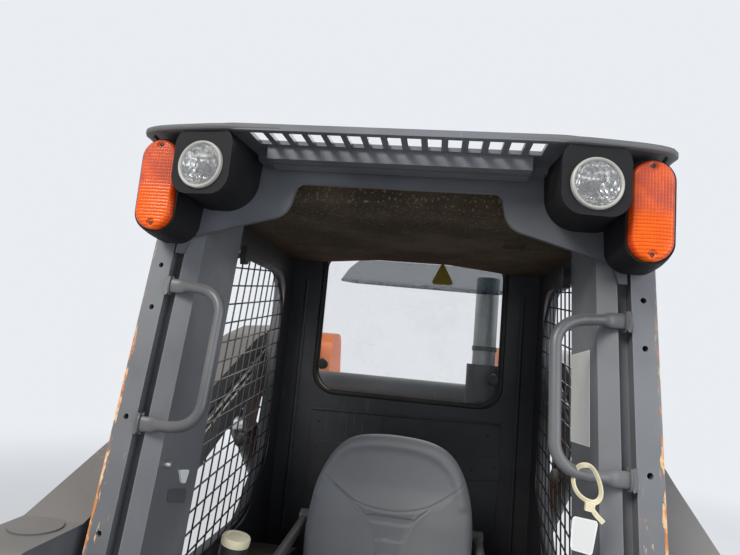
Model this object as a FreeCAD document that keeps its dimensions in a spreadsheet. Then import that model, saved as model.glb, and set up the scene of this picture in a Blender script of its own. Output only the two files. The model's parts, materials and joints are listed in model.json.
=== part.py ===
"""Skid steer loader: cab, chassis, radial lift arms, quick coupler and bucket.

Millimetres, +Z up, the machine faces -Y and the driver's right hand is at -X.
The origin is on the ground, in the middle of the machine's length and width.
"""
import FreeCAD, Part
import math
import os
import re
import Sketcher

doc = FreeCAD.newDocument("SkidSteerLoader")

# Driving dimensions: name, value in millimetres or degrees
SIZES = (
    # Wheels
    ("wheel_radius", 410), ("tyre_width", 300), ("rim_radius", 205), ("rim_width", 250),
    ("rim_wall", 9), ("track_half", 700), ("front_axle", -230), ("rear_axle", 850),
    ("axle_tube_radius", 62), ("lug_height", 26), ("lug_count", 15), ("lug_width", 34),
    ("hub_gap", 0.3), ("hub_room", 60),
    # Chassis
    ("frame_front", -690), ("frame_rear", 1340), ("frame_half", 480), ("frame_inner", 330),
    ("frame_bottom", 230), ("frame_top", 560), ("belly_plate", 20), ("weight_depth", 360),
    # Cab shell, with front posts that lean back as they rise
    ("cab_half", 490), ("cab_top", 2075), ("cab_rear", 500), ("cab_wall", 40),
    ("post_mark", 1555), ("post_face", -500), ("post_setback", 167.3), ("post_inner", 387),
    ("post_depth", 200), ("post_wall", 8), ("strip_inner", 444), ("strip_step", 420),
    ("strip_groove", 28), ("roof_sheet", 20), ("roof_groove", 4), ("visor_front", -600),
    ("visor_break", -500), ("visor_fall", 4), ("visor_sheet", 8), ("visor_rim", 12),
    ("visor_half", 290), ("slot_count", 15), ("slot_pitch", 35.8), ("slot_width", 24),
    ("slot_length", 72), ("slot_edge", 14), ("ridge_half", 250), ("ridge_drop", 14),
    ("header_half", 434), ("header_sheet", 12), ("header_arch", 2037), ("header_low", 1872),
    ("header_hole_out", 240), ("header_hole", 5),
    ("headliner_drop", 57), ("headliner_sheet", 12), ("headliner_front", -345),
    ("headliner_crease", -141), ("headliner_arch", 345), ("dome_out", 285), ("dome_place", -45),
    ("side_low", 1150), ("side_drop", 125), ("side_rear", 400), ("side_margin", 40),
    ("window_half", 342), ("window_low", 1535), ("window_drop", 14), ("seal_width", 16),
    ("window_low_round", 80), ("window_high_round", 45), ("post_hole", 5.5), ("post_hole_out", 466),
    ("glass_sheet", 6), ("floor_sheet", 15), ("screen_sheet", 8), ("screen_edge", 22),
    # Lamps and handles on the cab's face
    ("lamp_out", 340), ("lamp_drop", 61), ("lamp_front", -590), ("lamp_radius", 44),
    ("lamp_turn", 8), ("lamp_depth", 34), ("lamp_crown", 7), ("lamp_ring", 4),
    ("pod_half", 58), ("pod_rise", 63), ("pod_up", 10), ("pod_corner", 36),
    ("base_wide", 84), ("base_rise", 94), ("base_out", 367), ("base_up", 44),
    ("lens_half", 37), ("lens_out", 439), ("lens_drop", 3), ("lens_length", 174),
    ("lens_front", -560), ("lens_depth", 26), ("lens_edge", 9), ("case_lip", 3), ("case_flare", 9),
    ("handle_low", 1541), ("handle_high", 1804), ("handle_foot", 446), ("handle_grip", 302),
    ("handle_stand", 45), ("handle_tube", 12.5),
    # Seat and controls
    ("seat_half", 232), ("seat_top", 1470), ("seat_low", 860), ("cushion_top", 950),
    ("cushion_front", -400), ("cushion_rear", 55), ("back_front", 60), ("back_depth", 100),
    ("base_half", 210), ("console_inner", 300), ("console_top", 1080), ("lever_out", 330),
    ("lever_place", -295), ("lever_top", 1290), ("bar_half", 262), ("bar_tube", 14),
    ("bar_pivot_back", 250), ("bar_pivot_up", 1180), ("bar_reach", -280), ("bar_low", 1150),
    # Rear body
    ("upright_inner", 400), ("upright_outer", 500), ("upright_top", 1770), ("plate", 12),
    ("hood_half", 388), ("hood_front", 550), ("hood_crest", 1530), ("hood_rear", 1610),
    ("door_low", 520), ("door_high", 1335), ("door_sheet", 44), ("hinge_out", 408), ("lamp_seat", 1430),
    ("stack_out", 282), ("stack_place", 640), ("stack_radius", 43), ("stack_top", 2020),
    ("sleeve_radius", 62), ("sleeve_top", 1690), ("stack_wall", 4),
    ("louvre_count", 6), ("louvre_pitch", 46), ("louvre_length", 230), ("louvre_width", 14),
    # Lift arms
    ("arm_inner", 515), ("arm_outer", 635), ("arm_wall", 10), ("arm_pivot_y", 1250),
    ("arm_pivot_z", 1650), ("arm_pin", 32), ("pin_gap", 0.3), ("face_gap", 0.5),
    ("tube_y", 810), ("tube_z", 1553), ("tube_radius", 50),
    ("cross_y", -800), ("cross_z", 560), ("cross_radius", 38),
    ("elbow_top", 1352), ("plug_y", -549), ("plug_radius", 44), ("plug_rise", 3),
    # Coupler and bucket
    ("tool_pin_y", -930), ("tool_pin_z", 330), ("tool_pin", 22), ("tool_plate", -1105),
    ("coupler_half", 665), ("coupler_sheet", 20), ("ear", 16), ("bucket_half", 850),
    ("bucket_sheet", 14), ("bucket_low", 4), ("bucket_high", 690), ("bucket_lip", -1700),
    # Hydraulic cylinders: pins of the lift pair and of the tilt pair
    ("lift_base_y", 1330), ("lift_base_z", 700), ("lift_eye_y", 450), ("lift_eye_z", 1420),
    ("lift_x", 575), ("lift_barrel", 45), ("lift_rod", 25), ("lift_stroke", 590),
    ("tilt_base_y", -700), ("tilt_base_z", 1130), ("tilt_eye_y", -1010), ("tilt_eye_z", 530),
    ("tilt_x", 430), ("tilt_barrel", 40), ("tilt_rod", 18), ("tilt_stroke", 330),
    ("tilt_pull_in", 68), ("eye_half", 20), ("cylinder_pin", 20),
)

sheet = doc.addObject("Spreadsheet::Sheet", "Sizes")
for row, (alias, value) in enumerate(SIZES, start=1):
    sheet.set(f"A{row}", alias)
    sheet.set(f"B{row}", str(value))
    sheet.setAlias(f"B{row}", alias)
doc.recompute()
ALIASES = {alias for alias, value in SIZES}
size = {alias: float(getattr(sheet, alias)) for alias in ALIASES}

V = FreeCAD.Vector
SIDEWAYS, FORE_AFT, UPRIGHT = V(1, 0, 0), V(0, 1, 0), V(0, 0, 1)
# Sketch planes: side shows (y, z) from +X, front shows (x, z), plan shows (x, y)
PLANES = {
    "side": (FreeCAD.Rotation(V(1, 1, 1), 120), SIDEWAYS, "x"),
    "front": (FreeCAD.Rotation(V(1, 0, 0), 90), FORE_AFT, "y"),
    "plan": (FreeCAD.Rotation(), UPRIGHT, "z"),
}
parts = {}

# Heights that hang from the cab's top
LAMP_HEIGHT = "(cab_top - lamp_drop)"
VISOR_TOP = "(cab_top + roof_sheet - visor_fall)"
LENS_HIGH = "(cab_top - lens_drop)"
LENS_LOW = "(cab_top - lens_drop - lens_length)"
HEADLINER_LOW = "(cab_top - headliner_drop)"
SIDE_HIGH = "(cab_top - side_drop)"
WINDOW_HIGH = "(cab_top - window_drop)"


def bind(item, prop, formula):
    """Set a property from a formula whose words are names of the sheet."""
    def cell(match):
        return "Sizes." + match.group(0) if match.group(0) in ALIASES else match.group(0)
    item.setExpression(prop, re.sub(r"[a-z][a-z_]+", cell, str(formula)))


def post_line(height):
    """Formula of the front posts' face line at a height, in the side view."""
    return f"(post_face + ({height} - post_mark) * post_setback / 1000)"


def sketch_of(name, plane, corners, start):
    """Closed outline whose corners are held by formulas."""
    turn, direction, letter = PLANES[plane]
    sketch = doc.addObject("Sketcher::SketchObject", name + "_outline")
    sketch.Placement = FreeCAD.Placement(V(), turn)
    bind(sketch, "Placement.Base." + letter, start)
    count = len(corners)
    ring = [V(math.cos(2 * math.pi * i / count), math.sin(2 * math.pi * i / count), 0)
            for i in range(count)]
    for i in range(count):
        sketch.addGeometry(Part.LineSegment(ring[i], ring[(i + 1) % count]))
    for i in range(count):
        sketch.addConstraint(Sketcher.Constraint("Coincident", i, 2, (i + 1) % count, 1))
    for i, corner in enumerate(corners):
        for kind, value, formula in (("DistanceX", ring[i].x, corner[0]),
                                     ("DistanceY", ring[i].y, corner[1])):
            spot = sketch.addConstraint(Sketcher.Constraint(kind, i, 1, value))
            bind(sketch, f"Constraints[{spot}]", formula)
    sketch.recompute()
    return sketch


def extruded(name, profile, direction, ahead, back=0):
    """Solid from a flat profile, carried along a direction."""
    solid = doc.addObject("Part::Extrusion", name)
    solid.Base = profile
    solid.DirMode = "Custom"
    solid.Dir = direction
    solid.Solid = True
    bind(solid, "LengthFwd", ahead)
    bind(solid, "LengthRev", back)
    solid.recompute()
    return solid


def prism(name, plane, corners, start, depth):
    """Solid from an outline; a corner's third item is the radius it is rounded to."""
    sketch = sketch_of(name, plane, corners, start)
    direction = PLANES[plane][1]
    solid = extruded(name + "_block", sketch, direction, depth)
    picks = []
    for i, corner in enumerate(corners):
        if len(corner) > 2:
            spot = sketch.Placement.multVec(sketch.Geometry[i].StartPoint)
            for number, edge in enumerate(solid.Shape.Edges, start=1):
                first, last = edge.Vertexes[0].Point, edge.Vertexes[-1].Point
                along = (last - first).cross(direction).Length < 1e-6
                if along and min((first - spot).Length, (last - spot).Length) < 1e-4:
                    picks.append((number, float(corner[2]), float(corner[2])))
    return rounded(name, solid, picks) if picks else solid


def rounded(name, solid, picks):
    """Round the picked edges of a solid."""
    fillet = doc.addObject("Part::Fillet", name + "_round")
    fillet.Base = solid
    fillet.Edges = picks
    fillet.recompute()
    return fillet


def box(name, x, y, z, length, width, height):
    """Plain block from its low corner."""
    block = doc.addObject("Part::Box", name)
    for prop, formula in (("Placement.Base.x", x), ("Placement.Base.y", y), ("Placement.Base.z", z),
                          ("Length", length), ("Width", width), ("Height", height)):
        bind(block, prop, formula)
    block.recompute()
    return block


def bar(name, direction, x, y, z, radius, length, far_radius=None):
    """Round bar, or cone when it has a far radius, from one end's centre."""
    bar_end = doc.addObject("Part::Cone" if far_radius else "Part::Cylinder", name)
    bar_end.Placement = FreeCAD.Placement(V(), FreeCAD.Rotation(UPRIGHT, direction))
    for prop, formula in (("Placement.Base.x", x), ("Placement.Base.y", y),
                          ("Placement.Base.z", z), ("Height", length)):
        bind(bar_end, prop, formula)
    if far_radius:
        bind(bar_end, "Radius1", radius)
        bind(bar_end, "Radius2", far_radius)
    else:
        bind(bar_end, "Radius", radius)
    bar_end.recompute()
    return bar_end


def cut(name, base, *tools):
    """Take tools away from a base."""
    for number, tool in enumerate(tools):
        result = doc.addObject("Part::Cut", f"{name}_cut_{number}")
        result.Base = base
        result.Tool = tool
        result.recompute()
        base = result
    return base


def fused(name, *items):
    """Join solids that touch into one."""
    result = doc.addObject("Part::MultiFuse", name + "_fused")
    result.Shapes = list(items)
    result.Refine = True
    result.recompute()
    return result


def common(name, first, second):
    """Keep what two solids share."""
    result = doc.addObject("Part::Common", name + "_common")
    result.Base = first
    result.Tool = second
    result.recompute()
    return result


def mirrored(name, item):
    """Copy across the machine's middle plane."""
    result = doc.addObject("Part::Mirroring", name + "_mirror")
    result.Source = item
    result.Normal = SIDEWAYS
    result.recompute()
    return result


def finish(node, *items, pair=False):
    """Give a sub-part its label; a pair also gets its mirrored twin."""
    items = list(items)
    if pair:
        items += [mirrored(f"{node}_{number}", item) for number, item in enumerate(items)]
    result = doc.addObject("Part::Compound", node)
    result.Links = items
    result.Label = node
    parts[node] = result


def tube(name, points, radius, bend, inner=0):
    """Round tube along straight runs joined by tangent arcs."""
    edges, last = [], points[0]
    for here, after in zip(points[1:-1], points[2:]):
        into, out = (here - last).normalize(), (after - here).normalize()
        turn = into.getAngle(out)
        reach = bend * math.tan(turn / 2)
        start, end = here - into * reach, here + out * reach
        middle = here + (out - into).normalize() * (bend / math.cos(turn / 2) - bend)
        edges += [Part.LineSegment(last, start).toShape(), Part.Arc(start, middle, end).toShape()]
        last = end
    edges.append(Part.LineSegment(last, points[-1]).toShape())
    path = Part.Wire(edges)
    first = (points[1] - points[0]).normalize()
    ring = Part.Wire(Part.Circle(points[0], first, radius).toShape())
    shape = path.makePipeShell([ring], True, False)
    if inner:
        hole = Part.Wire(Part.Circle(points[0], first, inner).toShape())
        shape = shape.cut(path.makePipeShell([hole], True, False))
    item = doc.addObject("Part::Feature", name)
    item.Shape = shape
    return item


def chassis():
    """Drive cases each side, belly plate, end plates and the stub axle tubes."""
    case = box("drive_case", "frame_inner", "frame_front", "frame_bottom",
               "frame_half - frame_inner", "frame_rear - frame_front", "frame_top - frame_bottom")
    hollow = box("drive_case_room", "frame_inner + plate", "frame_front + plate", "frame_bottom + plate",
                 "frame_half - frame_inner - 2 * plate", "frame_rear - frame_front - 2 * plate",
                 "frame_top - frame_bottom - 2 * plate")
    case = cut("drive_case", case, hollow)
    belly = box("belly", "-frame_inner", "frame_front", "frame_bottom", "2 * frame_inner",
                "frame_rear - frame_front", "belly_plate")
    nose = box("nose", "-frame_inner", "frame_front", "frame_bottom", "2 * frame_inner",
               "belly_plate", "frame_top - frame_bottom")
    tail = box("tail", "-frame_inner", "frame_rear - belly_plate", "frame_bottom", "2 * frame_inner",
               "belly_plate", "frame_top - frame_bottom")
    finish("main_frame", fused("main_frame", case, mirrored("drive_case", case), belly, nose, tail))
    tubes = []
    for place in ("front_axle", "rear_axle"):
        stub = bar(place + "_stub", SIDEWAYS, "frame_half", place, "wheel_radius", "axle_tube_radius",
                   "track_half - hub_room - frame_half - hub_gap")
        flange = bar(place + "_flange", SIDEWAYS, "frame_half", place, "wheel_radius",
                     "axle_tube_radius + 38", "plate")
        tubes.append(fused(place, stub, flange))
    finish("axle_tubes", *tubes, pair=True)


def wheels():
    """Bar-lug tyre on a dished rim, at four corners."""
    half, outer, seat = size["tyre_width"] / 2, size["wheel_radius"] - size["lug_height"], size["rim_radius"]
    rim_half, rim_wall = size["rim_width"] / 2, size["rim_wall"]
    count = int(size["lug_count"])
    sides = 2 * count
    # Right half of the section, out from the bead: across the wheel, radius; the bead's flats lie on the rim
    seat = seat / math.cos(math.pi / sides)
    flank = ((rim_half - rim_wall, seat), (rim_half - rim_wall, seat + 20), (rim_half + 8, seat + 34),
             (half, seat + 85), (half - 8, outer - 30), (half - 60, outer))
    rows = [(-x, r) for x, r in flank] + [(x, r) for x, r in reversed(flank)]
    turns = [FreeCAD.Rotation(SIDEWAYS, 360 / sides * (number + 0.5)) for number in range(sides)]
    rings = [[turn.multVec(V(x, 0, r)) for turn in turns] for x, r in rows]
    faces = []
    for ring, after in zip(rings, rings[1:] + rings[:1]):
        for number in range(sides):
            further = (number + 1) % sides
            quad = [ring[number], ring[further], after[further], after[number], ring[number]]
            faces.append(Part.Face(Part.makePolygon(quad)))
    carcass = Part.Solid(Part.makeShell(faces))
    # Bar in plan: from the middle to the shoulder, slanted along the tread, its corners on the wheel's radius
    width, slant = size["lug_width"], size["lug_width"] * 0.7
    ends = ((-4, -slant), (half - 8, slant))
    reach = slant + width / 2
    top = math.sqrt(size["wheel_radius"] ** 2 - reach ** 2)
    corners = [V(x, y - width / 2, outer - 34) for x, y in ends]
    corners += [V(x, y + width / 2, outer - 34) for x, y in reversed(ends)]
    lug = Part.Face(Part.makePolygon(corners + corners[:1])).extrude(V(0, 0, top - outer + 34))
    lean = math.degrees(math.atan2(reach, top))
    twin = lug.mirror(V(), SIDEWAYS)
    lugs = []
    for number in range(count):
        for shape, shift in ((lug, 0), (twin, 0.5)):
            copy = shape.copy()
            copy.rotate(V(), SIDEWAYS, 180 - lean + 360 / count * (number + shift))
            lugs.append(copy)
    tread = doc.addObject("Part::Feature", "tyre_tread")
    tread.Shape = carcass.fuse(lugs).removeSplitter()

    rim = doc.addObject("PartDesign::Body", "rim_form")
    plane = [item for item in rim.Origin.OriginFeatures if item.Role == "XZ_Plane"][0]
    section = rim.newObject("Sketcher::SketchObject", "rim_section")
    section.AttachmentSupport = (plane, "")
    section.MapMode = "FlatFace"
    seat = size["rim_radius"]
    well, inside, lip = seat - 0.3, seat - rim_wall, seat + 18
    # Rim section: across the wheel from its middle, radius; out over the well, back by the disc and hub
    rows = ((-rim_half, inside), (-rim_half, lip), (-rim_half + rim_wall, lip),
            (-rim_half + rim_wall, well),
            (rim_half - rim_wall, well), (rim_half - rim_wall, lip), (rim_half, lip), (rim_half, inside),
            (20, inside), (-28, 118), (-26, 70), (0, 62), (0, 0), (-60, 0), (-60, 90), (-40, 110),
            (0, inside))
    points = [V(x, r, 0) for x, r in rows]
    for i, point in enumerate(points):
        section.addGeometry(Part.LineSegment(point, points[(i + 1) % len(points)]))
    turn = rim.newObject("PartDesign::Revolution", "rim_dish")
    turn.Profile = section
    turn.ReferenceAxis = (section, ["H_Axis"])
    turn.Angle = 360
    doc.recompute()

    for end, place in (("front", "front_axle"), ("rear", "rear_axle")):
        for side, sign in (("left", 1), ("right", -1)):
            for kind, form in (("tyre", tread), ("rim", rim)):
                item = form if sign > 0 else mirrored(f"{kind}_{end}", form)
                node = f"{kind}_{end}_{side}"
                finish(node, item)
                bind(parts[node], "Placement.Base.x", f"{sign} * track_half")
                bind(parts[node], "Placement.Base.y", place)
                bind(parts[node], "Placement.Base.z", "wheel_radius")


def cab_shell():
    """Front posts, side walls, rear wall, header, roof with its slotted visor, headliner and floor."""
    base = post_line("frame_top")
    lean = V(0, size["post_setback"] / 1000, 1)
    rise = f"(cab_top - frame_top) * {lean.Length}"
    # Post section in plan, with a groove between its outer and inner strips
    outer = sketch_of("post", "plan", (
        ("cab_half", base + " + 6"), ("cab_half", base + " + post_depth"),
        ("post_inner", base + " + post_depth"),
        ("post_inner", base + " + 12"), ("strip_step", base), ("strip_step", base + " + strip_groove"),
        ("strip_inner", base + " + strip_groove"), ("strip_inner", base)), "frame_top")
    inner = sketch_of("post_room", "plan", (
        ("cab_half - post_wall", base + " + strip_groove + post_wall"),
        ("cab_half - post_wall", base + " + post_depth - post_wall"),
        ("post_inner + post_wall", base + " + post_depth - post_wall"),
        ("post_inner + post_wall", base + " + strip_groove + post_wall")), "frame_top")
    post = cut("post", extruded("post", outer, lean, rise), extruded("post_room", inner, lean, rise))
    holes = [bar(f"post_hole_{height}", FORE_AFT, "post_hole_out", post_line(height) + " - 20", height,
                 "post_hole", "50") for height in (1349, 1549, 1759, 1846)]
    finish("cab_posts", cut("post_holes", post, *holes), pair=True)

    side = prism("side", "side", (
        (post_line("frame_top") + " + post_depth", "frame_top"), ("cab_rear + cab_wall", "frame_top"),
        ("cab_rear + cab_wall", "cab_top"), (post_line("cab_top") + " + post_depth", "cab_top")),
        "cab_half - cab_wall", "cab_wall")
    opening = prism("side_opening", "side", (
        (post_line("side_low") + " + post_depth + side_margin", "side_low", 60),
        ("side_rear - 160", "side_low", 90), ("side_rear", "side_low + 170", 90),
        ("side_rear", SIDE_HIGH, 70),
        (post_line(SIDE_HIGH) + " + post_depth + side_margin", SIDE_HIGH, 60)),
        "cab_half - cab_wall - 1", "cab_wall + 2")
    finish("cab_sides", cut("side", side, opening), pair=True)

    wall = box("rear_wall", "-(cab_half - cab_wall)", "cab_rear", "frame_top", "2 * (cab_half - cab_wall)",
               "cab_wall", "cab_top - frame_top")
    low_round, high_round = size["window_low_round"], size["window_high_round"]
    corners = (("-window_half", "window_low", low_round), ("window_half", "window_low", low_round),
               ("window_half", WINDOW_HIGH, high_round), ("-window_half", WINDOW_HIGH, high_round))
    hole = prism("window", "front", corners, "cab_rear - 1", "cab_wall + 2")
    finish("cab_rear_wall", cut("rear_wall", wall, hole))
    gasket = prism("gasket", "front", corners, "cab_rear + 6", "18")
    pane_corners = [(f"{'-' if first[0] == '-' else ''}(window_half - seal_width)",
                     f"{second} {'+' if second == 'window_low' else '-'} seal_width",
                     radius - size["seal_width"])
                    for first, second, radius in corners]
    pane_room = prism("gasket_room", "front", pane_corners, "cab_rear", "cab_wall")
    finish("rear_seal", cut("gasket", gasket, pane_room))
    finish("rear_glass", prism("pane", "front", pane_corners, "cab_rear + 12", "glass_sheet"))

    # Right half of the opening below the header: up the tab, along the slope and round into the arch
    arch = (("header_half - 15", "header_low"), ("header_half - 23", "header_arch - 129", 10),
            ("217", "header_arch - 70", 50), ("205", "header_arch", 14))
    left_arch = [("-(" + corner[0] + ")",) + corner[1:] for corner in reversed(arch)]
    plate_outline = prism("header", "front", (
        ("-header_half", "cab_top"), ("header_half", "cab_top"), ("header_half", "header_low"), *arch,
        *left_arch,
        ("-header_half", "header_low")), "post_face - 60", "300")
    slab = prism("header_lean", "side", (
        (post_line("1800") + " - header_sheet", "1800"), (post_line("1800"), "1800"),
        (post_line("cab_top"), "cab_top"), (post_line("cab_top") + " - header_sheet", "cab_top")),
        "-cab_half", "2 * cab_half")
    bolt_holes = [bar(f"header_hole_{sign}", FORE_AFT, f"{sign} * header_hole_out", "post_face",
                      "header_arch + 34",
                      "header_hole", "200") for sign in (-1, 1)]
    finish("cab_header", cut("header_holes", common("header", plate_outline, slab), *bolt_holes))
    roof_and_visor()
    headliner()
    finish("cab_floor", box("floor_pan", "-post_inner", post_line("frame_top") + " + 16", "frame_top",
                            "2 * post_inner", "cab_rear - " + post_line("frame_top") + " - 16",
                            "floor_sheet"))


def roof_and_visor():
    """Roof sheet that falls to a slotted visor with a rim, pressed grooves above and ridges below."""
    section = prism("roof_section", "side", (
        ("cab_rear + cab_wall", "cab_top"), ("cab_rear + cab_wall", "cab_top + roof_sheet", 12),
        ("visor_break", "cab_top + roof_sheet"), ("visor_front", VISOR_TOP),
        ("visor_front", VISOR_TOP + " - visor_rim"),
        ("visor_front + 6", VISOR_TOP + " - visor_rim"),
        ("visor_front + 6", VISOR_TOP + " - visor_sheet + 1"),
        ("visor_break", "cab_top + roof_sheet - visor_sheet"),
        ("visor_break + 50", "cab_top + roof_sheet - visor_sheet"),
        ("visor_break + 50", "cab_top")), "-cab_half", "2 * cab_half")
    plan = prism("roof_plan", "plan", (
        ("-cab_half", "cab_rear + cab_wall", 30), ("-cab_half", "visor_break - 44", 34),
        ("-(cab_half - 56)", "visor_front + 39", 60), ("-visor_half", "visor_front", 120),
        ("visor_half", "visor_front", 120), ("cab_half - 56", "visor_front + 39", 60),
        ("cab_half", "visor_break - 44", 34), ("cab_half", "cab_rear + cab_wall", 30)),
        "cab_top - 60", "120")
    roof = common("roof", section, plan)
    tools = []
    for number in range(int(size["slot_count"])):
        centre = f"({number} - (slot_count - 1) / 2) * slot_pitch"
        tools.append(box(f"slot_{number}", f"{centre} - slot_width / 2", "visor_front + slot_edge",
                         VISOR_TOP + " - 20", "slot_width", "slot_length", "60"))
    for number, centre in enumerate((-300, -100, 100, 300)):
        tools.append(box(f"roof_groove_{number}", f"{centre} - 22", "visor_break + 120",
                         "cab_top + roof_sheet - roof_groove", "44", "cab_rear - visor_break - 200", "20"))
    ridges = [box(f"visor_ridge_{number}", "-ridge_half", place, "cab_top - ridge_drop", "2 * ridge_half",
                  "26",
                  f"{height} + ridge_drop") for number, (place, height) in enumerate((
                      ("visor_break - 6", "roof_sheet - visor_sheet + 2"),
                      ("visor_break + 34", "roof_sheet - visor_sheet")))]
    finish("roof_panel", fused("roof_panel", cut("roof", roof, *tools), *ridges))


def headliner():
    """Moulded lining with a turned-up front, a cross crease, a lamp recess and an arched rear edge."""
    inner = "(cab_half - cab_wall)"
    behind_posts = post_line(HEADLINER_LOW) + " + post_depth + headliner_sheet"
    section = prism("lining_section", "side", (
        ("headliner_front", HEADLINER_LOW + " + 4"), ("headliner_crease", HEADLINER_LOW + " - 4"),
        ("cab_rear", HEADLINER_LOW), ("cab_rear", HEADLINER_LOW + " + headliner_sheet"),
        ("headliner_crease", HEADLINER_LOW + " + headliner_sheet - 4"),
        ("headliner_front + headliner_sheet", HEADLINER_LOW + " + headliner_sheet + 4", 8),
        ("headliner_front + headliner_sheet", "cab_top"), ("headliner_front", "cab_top")), "-" + inner,
                    f"2 * {inner}")
    plan = prism("lining_plan", "plan", (
        ("-post_inner + 3", "headliner_front"), ("post_inner - 3", "headliner_front"),
        ("post_inner - 3", behind_posts), (inner, behind_posts), (inner, "cab_rear"),
        ("366", "cab_rear", 50), ("110", "headliner_arch", 140), ("-110", "headliner_arch", 140),
        ("-366", "cab_rear", 50), ("-" + inner, "cab_rear"), ("-" + inner, behind_posts),
        ("-post_inner + 3", behind_posts)), HEADLINER_LOW + " - 30", "headliner_drop + 30")
    recess = prism("dome_recess", "plan", (
        ("dome_out - 28", "dome_place - 46", 18), ("dome_out + 28", "dome_place - 46", 18),
        ("dome_out + 28", "dome_place + 46", 18), ("dome_out - 28", "dome_place + 46", 18)),
        HEADLINER_LOW + " - 10", "14")
    finish("headliner", cut("lining", common("lining", section, plan), recess))


def side_screens():
    """Welded guards in the side openings: a rounded frame with crossing bars."""
    rows = (("0", 60), ("1", 90), ("2", 90), ("3", 70), ("4", 60))
    front_low = post_line("side_low") + " + post_depth + side_margin"
    front_high = post_line(SIDE_HIGH) + " + post_depth + side_margin"
    ring = ((front_low, "side_low"), ("side_rear - 160", "side_low"), ("side_rear", "side_low + 170"),
            ("side_rear", SIDE_HIGH), (front_high, SIDE_HIGH))
    shift = ((1, 1), (-0.5, 1), (-1, 0.5), (-1, -1), (1, -1))
    outer = prism("screen", "side", [(y, z, rows[i][1]) for i, (y, z) in enumerate(ring)],
                  "cab_half - cab_wall", "screen_sheet")
    inner = prism("screen_room", "side",
                  [(f"{y} + {shift[i][0]} * screen_edge", f"{z} + {shift[i][1]} * screen_edge",
                    rows[i][1] - 16)
                   for i, (y, z) in enumerate(ring)], "cab_half - cab_wall - 1", "screen_sheet + 2")
    frame = cut("screen", outer, inner)
    bars = []
    low, high = size["side_low"], size["cab_top"] - size["side_drop"]
    count = 9
    for number in range(1, count):
        place = low + (high - low) * number / count
        bars.append(box(f"screen_bar_{number}", "cab_half - cab_wall + 1", "-400", place, "3",
                        "side_rear + 400", "4"))
    for number in range(1, 12):
        bars.append(box(f"screen_rod_{number}", "cab_half - cab_wall + 1", -320 + number * 60, "side_low",
                        "3", "4", SIDE_HIGH + " - side_low"))
    grid = common("screen_grid", fused("screen_bars", *bars), outer)
    finish("side_screens", fused("screen", frame, grid), pair=True)


def ring_wire(centre, wide, high, radius, turn=0):
    """Rounded rectangle that faces ahead at a centre, turned about the upright."""
    right = V(math.cos(math.radians(turn)), math.sin(math.radians(turn)), 0)
    edges, last, first = [], None, None
    for across, up, start in ((1, 1, 0), (-1, 1, 90), (-1, -1, 180), (1, -1, 270)):
        middle = centre + right * (across * (wide - radius)) + UPRIGHT * (up * (high - radius))
        arc = [middle + right * (radius * math.cos(math.radians(start + step))) +
               UPRIGHT * (radius * math.sin(math.radians(start + step))) for step in (0, 45, 90)]
        if last:
            edges.append(Part.LineSegment(last, arc[0]).toShape())
        first, last = first or arc[0], arc[2]
        edges.append(Part.Arc(*arc).toShape())
    edges.append(Part.LineSegment(last, first).toShape())
    return Part.Wire(edges)


def feature(name, shape):
    """Shape made from the sheet's sizes, as an object of the document."""
    item = doc.addObject("Part::Feature", name)
    item.Shape = shape
    return item


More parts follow.
